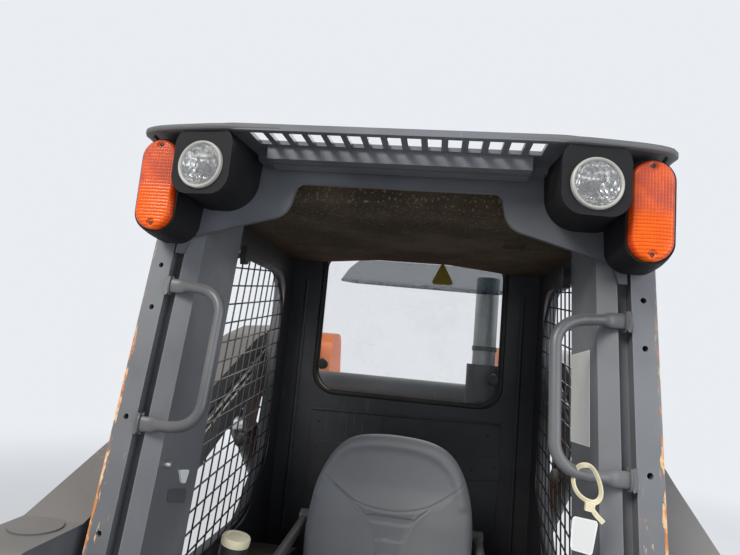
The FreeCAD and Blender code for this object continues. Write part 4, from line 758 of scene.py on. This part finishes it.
def make_seat():
    """Seat back in its moulded rim, seat cushion, and a bead of piping round the cushion's edge."""
    meridian = ((0, .083), (.6, .082), (.86, .079), (.93, .080), (.975, .088), (1, .104), (1.003, .122),
                (.99, .138),
                (.965, .148), (.93, .153), (.86, .156), (.5, .158), (0, .158))
    outline = evenly(rounded(SEAT_OUTLINE, 2, closed=True), 500, closed=True)
    a, b, depth = pad(outline, SEAT_CENTRE, meridian, seat_relief, 150, 440)
    back = piece("seat_back_pad", web(xyz(a, depth, b), caps=True), "seat_vinyl", replaces=("seat_back",),
                 sharp=80)

    # The cushion's depth grows downwards from its top
    top, bead = .951, .9245
    corners = ((-.2, -.395), (.2, -.395), (.228, -.36), (.231, -.2), (.229, 0), (.2, .05), (-.2, .05),
               (-.229, 0),
               (-.231, -.2), (-.228, -.36))
    outline = evenly(rounded(corners, 3, closed=True), 500, closed=True)
    meridian = ((0, .014), (.7, .013), (.9, .012), (.96, .018), (1, .034), (1, .07), (.985, .084),
                (.94, .089),
                (.6, .089), (0, .089))
    a, b, depth = pad(outline, np.array((0, -.17)), meridian, cushion_relief, 96, 360)
    base = piece("seat_cushion_pad", web(xyz(a, b, top - depth), caps=True), "seat_vinyl",
                 replaces=("seat_cushion",),
                 sharp=80)
    piece("seat_piping", sweep(in_space(outline[::3], 2, bead), .0035, sides=8, closed=True), "seat_vinyl")


def make_headlamps():
    """Worklamps: crowned glass, a faceted bowl behind it, a pale ring and a bulb shield."""
    radius, ring, crown = .0438, .0042, .0066
    inner = radius - ring
    arc = np.linspace(0, 1, 14)
    outer = np.column_stack((inner * arc[::-1], .0035 + crown * (1 - arc[::-1] ** 2)))
    under = np.column_stack((inner * arc, .0015 + (crown - .0012) * (1 - arc ** 2)))
    pane = lathe(np.vstack((outer, under)), LAMP_PLACE, LAMP_AHEAD, 64)
    piece("headlamp_glass", pane.paired(), "lamp_clear", replaces=("headlamps",))
    bezel = lathe(((inner - .0012, .0008), (inner - .0012, .0042), (inner, .0056), (inner + .0014, .0062),
                   (radius - .0008, .0050), (radius, .003), (radius, -.012), (inner + .001, -.012),
                   (inner + .001, .0002)), LAMP_PLACE, LAMP_AHEAD, 72, ring=True)
    piece("headlamp_rings", bezel.paired(), "rod_chrome", "lamp_ring")

    # Bowl: depth of a paraboloid, broken by upright flutes that are staggered from row to row
    side, other = across(LAMP_AHEAD)
    flute_wide, row_high = .0064, .0088
    share = np.linspace(.16, .985, 66)[:, None]
    angle = np.arange(144)[None] * math.tau / 144
    x, y = inner * share * np.cos(angle), inner * share * np.sin(angle)
    row = np.floor((y + .06) / row_high)
    flute = np.abs(np.sin((x / flute_wide + .5 * (row % 2)) * math.pi))
    tier = np.abs(np.sin((y / row_high) * math.pi))
    depth = -.027 * (1 - share ** 2) + .0016 * flute + .0011 * tier - .003
    bowl = LAMP_PLACE + x[..., None] * side + y[..., None] * other + depth[..., None] * LAMP_AHEAD
    shell = web(np.concatenate((bowl, bowl[::-1] - .0012 * LAMP_AHEAD)), wrap_rows=True)
    # The bowl's finish paints the facets' reflections
    piece("headlamp_bowls", shell.paired(), "rod_chrome", "bowl_silver", sharp=14)

    stem = lathe(((0, -.030), (.0075, -.030), (.0075, -.016), (.0088, -.012), (.0088, -.007), (.006, -.0045),
                  (0, -.0038)), LAMP_PLACE, LAMP_AHEAD)
    cup = lathe(((0, -.0285), (.013, -.0285), (.0135, -.026), (.009, -.024), (0, -.0238)), LAMP_PLACE,
                LAMP_AHEAD)
    piece("headlamp_bulb_shields", (stem + cup).paired(), "lamp_black")


def make_markers():
    """Marker lenses: a long round-ended dome with cross ribs, and upright flutes that are deeper above."""
    run = np.linspace(-1, 1, 84)[:-1] * LENS_REACH
    bend = np.linspace(0, math.pi, 44)[:-1]
    flat = np.zeros_like(run)
    spine = np.concatenate((run, np.full_like(bend, LENS_REACH), -run, np.full_like(bend, -LENS_REACH)))
    turn = np.concatenate((flat, bend, flat + math.pi, bend + math.pi))
    edge, screws_at = .0095, .0755
    inset = np.concatenate(((0, .0006, .0018, .0035, .0055, .0075), np.linspace(edge, LENS_HALF, 26)))[:,
                                                                                                       None]
    x, z = (LENS_HALF - inset) * np.cos(turn), spine + (LENS_HALF - inset) * np.sin(turn)
    fall = edge * (1 - np.sqrt(np.clip(1 - (1 - np.minimum(inset, edge) / edge) ** 2, 0, 1)))
    crown = .0024 * (1 - np.clip(1 - (x / LENS_HALF) ** 2, 0, 1))
    field = smooth(inset, .0065, edge)
    low = smooth(-z, -.012, .022)
    ribs = np.abs(np.sin(z / RIB_PITCH * math.pi)) * (.25 + .75 * low)
    flutes = np.abs(np.sin(x / FLUTE_PITCH * math.pi)) * (.85 - .5 * low)
    pit = np.minimum(np.hypot(x, z - screws_at), np.hypot(x, z + screws_at))
    y = fall + crown + field * (.0012 - .0013 * ribs - .0007 * flutes)
    y += .0035 * (1 - smooth(pit, .0058, .0078))
    wall = xyz(x[:1], np.linspace(LENS_THICK, .011, 4)[:, None], z[:1])
    dome = web(np.concatenate((wall, xyz(x, y, z))), caps=True).moved(LENS_PLACE)
    piece("marker_lens_domes", dome.paired(), "lens_amber", replaces=("marker_lenses",), sharp=60)
    heads = joined(screw(LENS_PLACE + (0, .0042, up), .0042) for up in (-screws_at, screws_at))
    piece("marker_lens_screws", heads.paired(), "rod_chrome", "dark_screws")


def post_line(height):
    """Fore-and-aft place of the front posts' face at a height."""
    return POST_FACE + (height - POST_MARK) * POST_SETBACK


def chords(outline, places, axis):
    """Lowest and highest crossing of a closed outline with lines on which one coordinate is given."""
    after = np.roll(outline, -1, 0)
    low, high = outline[:, axis], after[:, axis]
    at = np.asarray(places)[:, None]
    share = (at - low) / np.where(high == low, 1, high - low)
    hit = (share >= 0) & (share <= 1) & (high != low)
    other = outline[:, 1 - axis] + share * (after - outline)[:, 1 - axis]
    return np.where(hit, other, np.inf).min(1), np.where(hit, other, -np.inf).max(1)


def make_screens():
    """Side guards: a rounded frame of flat bar, and wires 51 mm apart both ways.
    The uprights lean back like the posts and the cross wires rise to the rear, so the outline is first put
    into sloping coordinates in which both sets are straight along an axis."""
    plane, thick, bar, pitch, wire, offset = .4535, .0035, .014, .0508, .0024, .0018
    lean, rise, level, shortest = .185, .121, 1.850, .03
    corners = ((-.328, 1.150), (.240, 1.150), (.400, 1.320), (.400, 1.950), (-.194, 1.950))
    outline = evenly(rounded(corners, 4, closed=True, keep=.16), 260, closed=True)
    inward = unit((.05, 1.55) - outline) * bar
    section = ((0, -thick), (0, thick), (1, thick), (1, -thick))
    rings = [in_space(outline + inward * share, 0, plane + x) for share, x in section]
    shapes = [web(np.stack(rings), wrap_rows=True)]
    middle = outline + inward / 2
    along = (middle[:, 0] - lean * (middle[:, 1] - level)) / (1 - lean * rise)
    sloping = np.column_stack((along, middle[:, 1] - rise * along))
    # Uprights, then cross wires: the coordinate that stays, its first and last value, and the place across
    for axis, first, last, x in ((0, -.3445, .60, plane + offset), (1, 1.0971, 2.05, plane - offset)):
        places = np.arange(first, last, pitch)
        for at, low, high in zip(places, *chords(sloping, places, axis)):
            if high - low > shortest:
                u, v = np.insert(((low,), (high,)), axis, at, axis=1).T
                shapes.append(sweep(xyz(x, u + lean * (v - level), v + rise * u), wire, sides=6, up=X))
    piece("side_mesh_guards", joined(shapes).paired(), "screen_black", "screen_wire",
          replaces=("side_screens",))


def make_handles():
    """Grab rails: round tube bent towards the doorway, its ends flattened on small welded plates."""
    foot, grip, stand, radius = .4335, .302, .046, .0103
    low, high, bend, tall = 1.541, 1.804, .034, .019
    edge = foot + .0015
    # From an end to the grip: place across, height from the end, distance before the post, further height
    half = ((foot, 0, .0085, 0), (foot - .040, 0, .0105, 0), (grip + bend * .8, 0, stand * .93, .007),
            (grip, bend, stand, 0), (grip, .075, stand, 0))
    corners = [(x, post_line(end + way * up) - gap, end + way * (up + more))
               for end, way, rows in ((low, 1, half), (high, -1, half[::-1])) for x, up, gap, more in rows]
    path = evenly(rounded(corners, 4), 130)
    run = np.linspace(0, 1, len(path))
    flat = 1 - smooth(np.minimum(run, 1 - run) * .56, .030, .056)
    # Across the path lies the height, outwards from the post the thickness
    shapes = [sweep(path, radius * (1 + .36 * flat), radius * (1 - .45 * flat), sides=28, up=(.02, -1, .05))]
    beads = []
    for height in (low, high):
        corners = oblong(edge - .004, edge + .006, height - tall, height + tall)
        shapes.append(plate(corners, 1, lambda z: post_line(z) + .001, -.011, 3, .3))
        rise = np.linspace(height - tall, height + tall, 30)
        for side in (-1, 1):
            out = edge + .001 + side * (.0055 + .0006 * np.sin(rise * 900))
            line = xyz(out, post_line(rise) - .0012, rise)
            beads.append(sweep(line, .0026 + .0005 * np.sin(rise * 1100), sides=8, up=Y))
        turn = np.linspace(0, math.tau, 36)[:-1]
        line = xyz(edge - .0048, post_line(height) - .0095 + .0075 * np.cos(turn),
                   height + .0168 * np.sin(turn))
        beads.append(sweep(line, .0016 + .0003 * np.sin(turn * 13), sides=8, up=X, closed=True))
    piece("grab_rails", joined(shapes).paired(), "handle_grey", replaces=("grab_handles",), sharp=40)
    piece("grab_rail_welds", joined(beads).paired(), "handle_grey")


def tyre(outward):
    """Bar-lug tyre about its own middle: a carcass profile turned round the axle, with slanting bars raised
    on each half of the tread. A bar's height is a flat-topped wave of angle plus slant, staggered by half a
    step between the halves."""
    lugs, half, tread_drop, splice = 15, .150, .025, .35
    section = ((.116, .2062), (.118, .222), (.128, .236), (.142, .262), (.1485, .295), (.1495, .325),
               (.146, .352),
               (.138, .370), (.126, .3795), (.100, .3835), (.055, .3850), (0, .3855))
    line = evenly(rounded(section, 3), 46)
    line = np.vstack((line * (-1, 1), line[-2::-1]))
    across_at, radius = line[:, :1], line[:, 1:]
    turn = np.arange(600)[None] * math.tau / 600
    share = np.clip(np.abs(across_at) / half, 0, 1)
    phase = (turn * lugs / math.tau + .25 * np.sign(across_at) * outward - .62 * share + .03) % 1.0
    bar_wide = .19 + .05 * share
    ridge = smooth(-np.abs(phase - .5), -bar_wide - .055, -bar_wide + .02)
    reach = smooth(radius, .345, .378) * smooth(np.abs(across_at), .004, .020)
    middle = splice * smooth(-np.abs(across_at), -.012, -.004) * (share < .2)
    crown = WHEEL_RADIUS - .010 * share ** 2 - radius
    height = np.clip(crown, 0, tread_drop + .012) * ridge * np.maximum(reach, middle)
    # Side ribs and small buttresses under each bar
    swell = .0022 * bump(radius - .318, .004) + .0018 * bump(radius - .243, .0035)
    swell = swell + .004 * ridge * smooth(radius, .322, .345) * (1 - smooth(radius, .36, .38))
    bulge = np.sign(across_at) * np.minimum(swell, half - np.abs(across_at))
    radius = radius + height
    return web(xyz(across_at + bulge, radius * np.cos(turn), radius * np.sin(turn)), wrap_rows=True)


def make_wheels():
    """Tyres, lug nuts, hub caps and valves; each wheel's set rides on its own body."""
    nut_circle, flange_circle, valve_up = .094, .049, .176
    for end, forward in (("front", -.230), ("rear", .850)):
        for side, sign in (("left", 1), ("right", -1)):
            name, out = f"{end}_{side}", sign * X
            body = f"wheel_{name}"
            hub = np.array((WHEEL_ACROSS * sign, forward, WHEEL_RADIUS))
            piece(f"tread_{name}", tyre(sign).moved(hub), "tyre_rubber", body=body,
                  replaces=(f"tyre_{name}",), sharp=38)
            nuts = joined(hexagon_bolt(hub - .0265 * out + at, out, .0125, 1.0) for at in circle(8,
                                                                                                 nut_circle,
                                                                                                 .2))
            piece(f"lug_nuts_{name}", nuts, "line_steel", body=body)
            cap = lathe(((0, -.004), (.058, -.004), (.060, .002), (.058, .012), (.050, .020), (.036, .023),
                         (.034, .026),
                         (.020, .0275), (0, .028)), hub, out, 48)
            flange = lathe(((0, -.004), (.0045, -.004), (.0045, .004), (.003, .006), (0, .006)),
                           hub + .0135 * out, out, 6)
            cap += joined(flange.moved(at) for at in circle(6, flange_circle))
            piece(f"hub_cap_{name}", cap, "rim_paint", "chassis_black", body)
            stem = lathe(((0, 0), (.0055, 0), (.0055, .010), (.0038, .012), (.0038, .026), (.0048, .027),
                          (.0048, .036),
                          (0, .037)), hub + .018 * out + valve_up * Z, out, 16)
            piece(f"valve_{name}", stem, "tyre_rubber", body=body)


def make_window():
    """Rear window: an inner sealing bead, a dotted tint band, a blank hanging tag and two latch knobs."""
    half, low, high, plane = .3345, 1.5425, 2.0535, .5045
    line = []
    for number, (corner, radius) in enumerate(zip(oblong(-half, half, low, high), (.080, .080, .045, .045))):
        turn = np.linspace(0, math.pi / 2, 14) + math.pi * (1 + number / 2)
        x, z = corner - radius * np.sign(corner - np.array((0, 1.8)))
        line.append(xyz(x + radius * np.cos(turn), plane, z + radius * np.sin(turn)))
    line = evenly(np.vstack(line), 220, closed=True)
    lip = sweep(line, .0062, .0052, sides=14, up=Y, closed=True)
    middle = np.array((0, plane, (low + high) / 2))
    inner = middle + (line - middle) * (.9715, 1, .966) + (0, .0035, 0)
    groove = sweep(inner, .0028, sides=10, up=Y, closed=True)
    piece("window_bead", lip + groove, "seal_rubber")
    band = ((-.278, 1.950), (.323, 1.9435), (.327, 1.97), (.324, 2.041), (-.203, 2.042), (-.243, 2.006))
    piece("window_tint", plate(band, 1, .5112, .0007), "window_glass", "window_tint", sharp=30)
    tag = ((.063, 1.965), (.149, 1.9665), (.1045, 2.046), (.0995, 2.046))
    piece("window_tag", plate(tag, 1, .4948, .0016, 3, .12), "window_glass", "tag_yellow", bevel=.0004)
    hook = lathe(((0, -.004), (.0035, -.004), (.0035, .006), (.0065, .007), (.0072, .0095), (.006, .012),
                  (0, .0128)),
                 (.1020, .500, 2.047), -Y, 24)
    knob = lathe(((0, 0), (.0085, 0), (.0085, .008), (.0175, .0095), (.0192, .012), (.0192, .022),
                  (.0175, .0255),
                  (.012, .0272), (0, .0278)), (.3065, .5125, 1.643), -Y, 40)
    piece("window_knobs", knob.paired() + hook, "lever_black")


def make_rear_wall():
    """Pressed panels on the cab's rear wall: a low panel with a folded lip, a cover, side plates and ribs."""
    wall, small, cover = .4972, .4935, .4915
    panels = (plate(((-.330, 1.12), (.342, 1.12), (.342, 1.4905), (-.330, 1.4795)), 1, wall, .0038, keep=.03)
              + plate(oblong(-.067, .103, 1.165, 1.4795), 1, cover, .006, keep=.05)
              + plate(((.198, 1.289), (.348, 1.306), (.345, 1.381), (.196, 1.376)), 1, small, .004, keep=.05)
              + plate(oblong(-.318, -.190, 1.20, 1.372), 1, small, .004, keep=.05))
    lip = sweep(((-.330, .4958, 1.4795), (.005, .4958, 1.485), (.342, .4958, 1.4905)), .0036, up=Y)
    rib = sweep(((-.395, .4985, 1.05), (-.395, .4985, 1.95)), .007, .005, up=Y)
    # Dark panels: painted shade inside the cab
    piece("rear_wall_panels", panels + lip + rib.paired(), "cab_grey", "cab_inside", bevel=.0012)
    heads = joined(screw((x, y + .0005, z), .0062) for y, places in (
        (cover, ((-.055, 1.468), (.091, 1.468), (-.055, 1.30), (.091, 1.30))),
        (small, ((.254, 1.330), (.328, 1.345), (-.300, 1.355), (-.208, 1.355))),
        (wall, ((-.30, 1.44), (.30, 1.45)))) for x, z in places)
    piece("rear_wall_screws", heads, "line_steel", "dark_screws")


def make_visor_rim():
    """Worn bead along the visor's edge: it follows the roof's plan and falls with the visor to the front."""
    half = np.array(((.4815, -.30), (.4815, -.546), (.434, -.572), (.310, -.5945), (.270, -.5915)))
    plan = evenly(rounded(np.vstack((half * (-1, 1), half[::-1])), 4, keep=.2), 160)
    fall = .004 * np.clip((-.5 - plan[:, 1]) / .100, 0, 1)
    path = in_space(plan, 2, 2.0882 - fall)
    piece("visor_rim", sweep(path, .0085, .0060, power=3), "cab_grey", "visor_worn")


def make_levers():
    """Two drive levers with pleated boots and capped grips, and two foot pedals with cleats."""
    out, back = .330, -.295
    path = rounded(((out, back, CONSOLE_TOP - .01), (out, back, CONSOLE_TOP + .10),
                    (out - .018, back - .004, 1.230),
                    (out - .030, back - .006, 1.262)), 3)
    piece("lever_stems", sweep(path, .0085, sides=20, up=Y).paired(), "rod_chrome")
    rise = np.linspace(0, 1, 60)
    pleat = .034 - .020 * rise + .0032 * np.sin(rise * math.tau * 6)
    profile = np.column_stack((np.hstack((0, .040, pleat, 0)), np.hstack((0, 0, .003 + .058 * rise, .062))))
    boot = lathe(profile, (out, back, CONSOLE_TOP), Z, 40)
    piece("lever_boots", boot.paired(), "lever_black", replaces=("control_levers",), sharp=60)
    grip = ((0, 0), (.017, 0), (.019, .006), (.0175, .018), (.0195, .030), (.018, .044), (.022, .056),
            (.0285, .066), (.0298, .074), (.0298, .094), (.029, .096), (0, .0965))
    cap = ((0, .0955), (.0300, .0955), (.0305, .098), (.0305, .108), (.0290, .1115), (.022, .1128),
           (.0205, .1115), (.0195, .1118), (0, .1122))
    for name, finish, profile in (("lever_grips", "lamp_black", grip), ("lever_caps", "cream_plastic", cap)):
        turned = lathe(profile, (out - .022, back - .005, 1.185), (-.16, -.02, 1), 48)
        piece(name, turned.paired(), "lever_black", finish, sharp=50)
    floor, left, right = .575, .122, .228
    side = ((-.560, floor), (-.430, floor), (-.430, floor + .014), (-.548, floor + .062),
            (-.560, floor + .056))
    pedal = plate(side, 0, left, right - left, rounds=0)
    slope = unit((0, .118, -.048))
    for run in np.linspace(.010, .112, 7):
        middle = np.array((0, -.546, floor + .0625)) + slope * run
        pedal += sweep((middle + (left + .006) * X, middle + (right - .006) * X), .0026, sides=8)
    piece("foot_pedals", pedal.paired(), "lever_black", bevel=.002)


def make_cab_trim():
    """Small things on the cab: strap loop, blank tag and strip, stud, clip, patch, knobs and latches."""
    loop = ((.342, -.560, 1.566), (.356, -.562, 1.565), (.367, -.563, 1.545), (.372, -.562, 1.523),
            (.364, -.560, 1.509),
            (.347, -.557, 1.512), (.3345, -.552, 1.523), (.332, -.540, 1.540), (.336, -.545, 1.556))
    path = evenly(rounded(loop, 3, closed=True), 90, closed=True)
    band = sweep(path, .0042, .0010, up=(.8, .6, .1), closed=True, power=4)
    buckle = plate(((.348, 1.510), (.362, 1.508), (.361, 1.496), (.347, 1.498)), 1, -.565, .008, rounds=0)
    tail = sweep(((.355, -.562, 1.504), (.365, -.562, 1.492), (.376, -.560, 1.482)), .0040, .0009, sides=8,
                 up=Y, power=4)
    piece("strap_loop", band + buckle + tail, "handle_grey", "cream_plastic", bevel=.0006)
    tag = plate(((.330, 1.487), (.369, 1.483), (.362, 1.431), (.329, 1.436)), 1,
                lambda z: .0025 * np.sin((z - 1.424) * 60) - .5585, .0006, keep=.08)
    strip = plate(((-.432, 1.576), (-.295, 1.565), (-.274, 1.740), (-.409, 1.750)), 0, POST_SIDE - .0002,
                  -.0007, rounds=0)
    piece("blank_tag", tag + strip, "handle_grey", "tag_white")

    # On the inner face of the left post (-X): stud, clip and patch; knobs and latches behind, on both sides
    stud = lathe(((0, 0), (.0052, 0), (.0052, .010), (.0040, .0122), (0, .0126)), (-POST_SIDE, -.478, 1.467),
                 X, 24)
    piece("post_stud", stud, "line_steel", "stud_zinc")
    clip = plate(((-.421, 1.446), (-.377, 1.437), (-.388, 1.413), (-.404, 1.416)), 0, -POST_SIDE, .006)
    piece("post_clip", clip, "handle_grey", "tag_white", bevel=.001)
    patch = plate(((-.452, 1.416), (-.370, 1.398), (-.371, 1.369), (-.449, 1.391)), 0, -POST_SIDE, .0012)
    piece("post_patch", patch, "lever_black", "patch_grey")
    knob = lathe(((0, 0), (.010, 0), (.012, .004), (.0185, .007), (.0198, .013), (.018, .020), (.011, .0235),
                  (0, .0245)), (-.4485, .059, 1.425), X)
    latch = plate(((-.226, 1.938), (-.208, 1.932), (-.203, 1.912), (-.210, 1.893), (-.226, 1.889),
                   (-.233, 1.912)),
                  0, -POST_SIDE, .016)
    piece("post_knobs", (knob + latch).paired(), "lever_black", bevel=.001)


def make_hardware():
    """Hardware away from the cab's face: pin and bucket bolts, bucket welds, door latch, filler cap, stack
    clamp, console switches and the lap bar's grip."""
    pivot = np.array((.6495, 1.250, 1.650))
    pins = [hexagon_bolt(pivot, X, .019), hexagon_bolt((.6075, 1.330, .700), X, .0105)]
    pins += [hexagon_bolt(pivot + at, X, .0065) for at in circle(3, .042, .5)]
    piece("pin_bolts", joined(pins).paired(), "line_steel", "dark_screws")
    head = lathe(((0, -.004), (.0155, -.004), (.0155, .0005), (.013, .0035), (.0075, .0052), (0, .0056)),
                 (0, -1.585, .0238), Z, 20)
    bolts = joined(head.moved(x * X) for x in np.linspace(-.74, .74, 9))
    bolts += hexagon_bolt((.661, -.930, .330), X, .0125).paired()
    piece("tool_bolts", bolts, "bucket_steel", "dark_screws", "tool")
    inner = ((-1.49, .020), (-1.26, .020), (-1.19, .030), (-1.146, .09), (-1.1405, .16), (-1.1405, .63))
    inner = evenly(rounded(in_space(inner, 0, .8345), 3), 90)
    beads = sweep(xyz(np.linspace(-.83, .83, 120), -1.5065, .0215),
                  .0042 + .0008 * np.sin(np.arange(120) * 2.1), sides=8)
    beads += sweep(inner, .0045 + .0008 * np.sin(np.arange(90) * 2.3), sides=8, up=X).paired()
    piece("bucket_welds", beads, "bucket_steel", "dark_screws", "tool")

    door, paddle_top = 1.6545, .985
    backing = plate(oblong(.302, .372, .880, 1.030), 1, door - .001, .005, 3, .12)
    paddle = plate(((.314, .905), (.360, .905), (.356, paddle_top), (.318, paddle_top)), 1,
                   lambda z: door + .004 + (paddle_top - z) * .16, .006, 3, .15)
    lock = lathe(((0, 0), (.0105, 0), (.0105, .004), (.009, .0055), (.003, .0055), (.003, .003), (0, .003)),
                 (.337, door + .004, 1.008), Y, 28)
    piece("door_latch", backing + paddle + lock, "lever_black", body=BODY_OF["rear_door"], bevel=.0008)

    ripple = ((0, -.004), (.050, -.004), (.050, .004), (.046, .008), (.0445, .011), (.0465, .014),
              (.0445, .017),
              (.0465, .020), (.0445, .023), (.0455, .027), (.042, .031), (.030, .0325), (0, .033))
    cap = lathe(ripple, (-.250, 1.150, 1.4583), (0, .0494, .9988), 40)
    grip = slab(((-.284, 1.144, 1.489), (-.216, 1.144, 1.489), (-.216, 1.156, 1.4884),
                 (-.284, 1.156, 1.4884)),
                (0, .0006, .012))
    piece("filler_cap", cap + grip, "lever_black", bevel=.0008)

    clamp = lathe(((.0425, -.009), (.0462, -.009), (.0462, .009), (.0425, .009)), (.282, .640, 1.750), Z, 48,
                  ring=True)
    clamp += plate(oblong(.276, .288, 1.742, 1.758), 1, .686, .020, rounds=0)
    clamp += hexagon_bolt((.288, .697, 1.750), X, .0055, .9)
    piece("stack_clamp", clamp, "stack_steel", "dark_screws")

    board = plate(oblong(.335, .425, -.150, .110), 2, CONSOLE_TOP - .001, .006, 3)
    board += lathe(((0, 0), (.0135, 0), (.0135, .005), (.0115, .008), (.004, .008), (.004, .022), (0, .022)),
                   (.380, .075, CONSOLE_TOP + .005), Z, 28)
    board += joined(slab(in_space(oblong(x - .010, x + .010, y - .015, y + .015), 2, CONSOLE_TOP + .004),
                         (0, .0015, .007)) for x in (.358, .402) for y in (-.110, -.060, -.010))
    piece("console_switches", board.paired(), "console_plastic", "lever_black", bevel=.001)

    sleeve = .0205 + .0008 * np.sin(np.arange(40) * 1.4)
    grip = sweep(xyz(np.linspace(-.150, .150, 40), -.280, 1.150), sleeve, sides=28)
    piece("bar_grip", grip, "seal_rubber", body=BODY_OF["lap_bar"], sharp=60)


make_camera()
make_stage()
FINISHES = make_finishes()
dress_nodes()
make_seat()
make_headlamps()
make_markers()
make_screens()
make_handles()
make_wheels()
make_window()
make_rear_wall()
make_visor_rim()
make_levers()
make_cab_trim()
make_hardware()
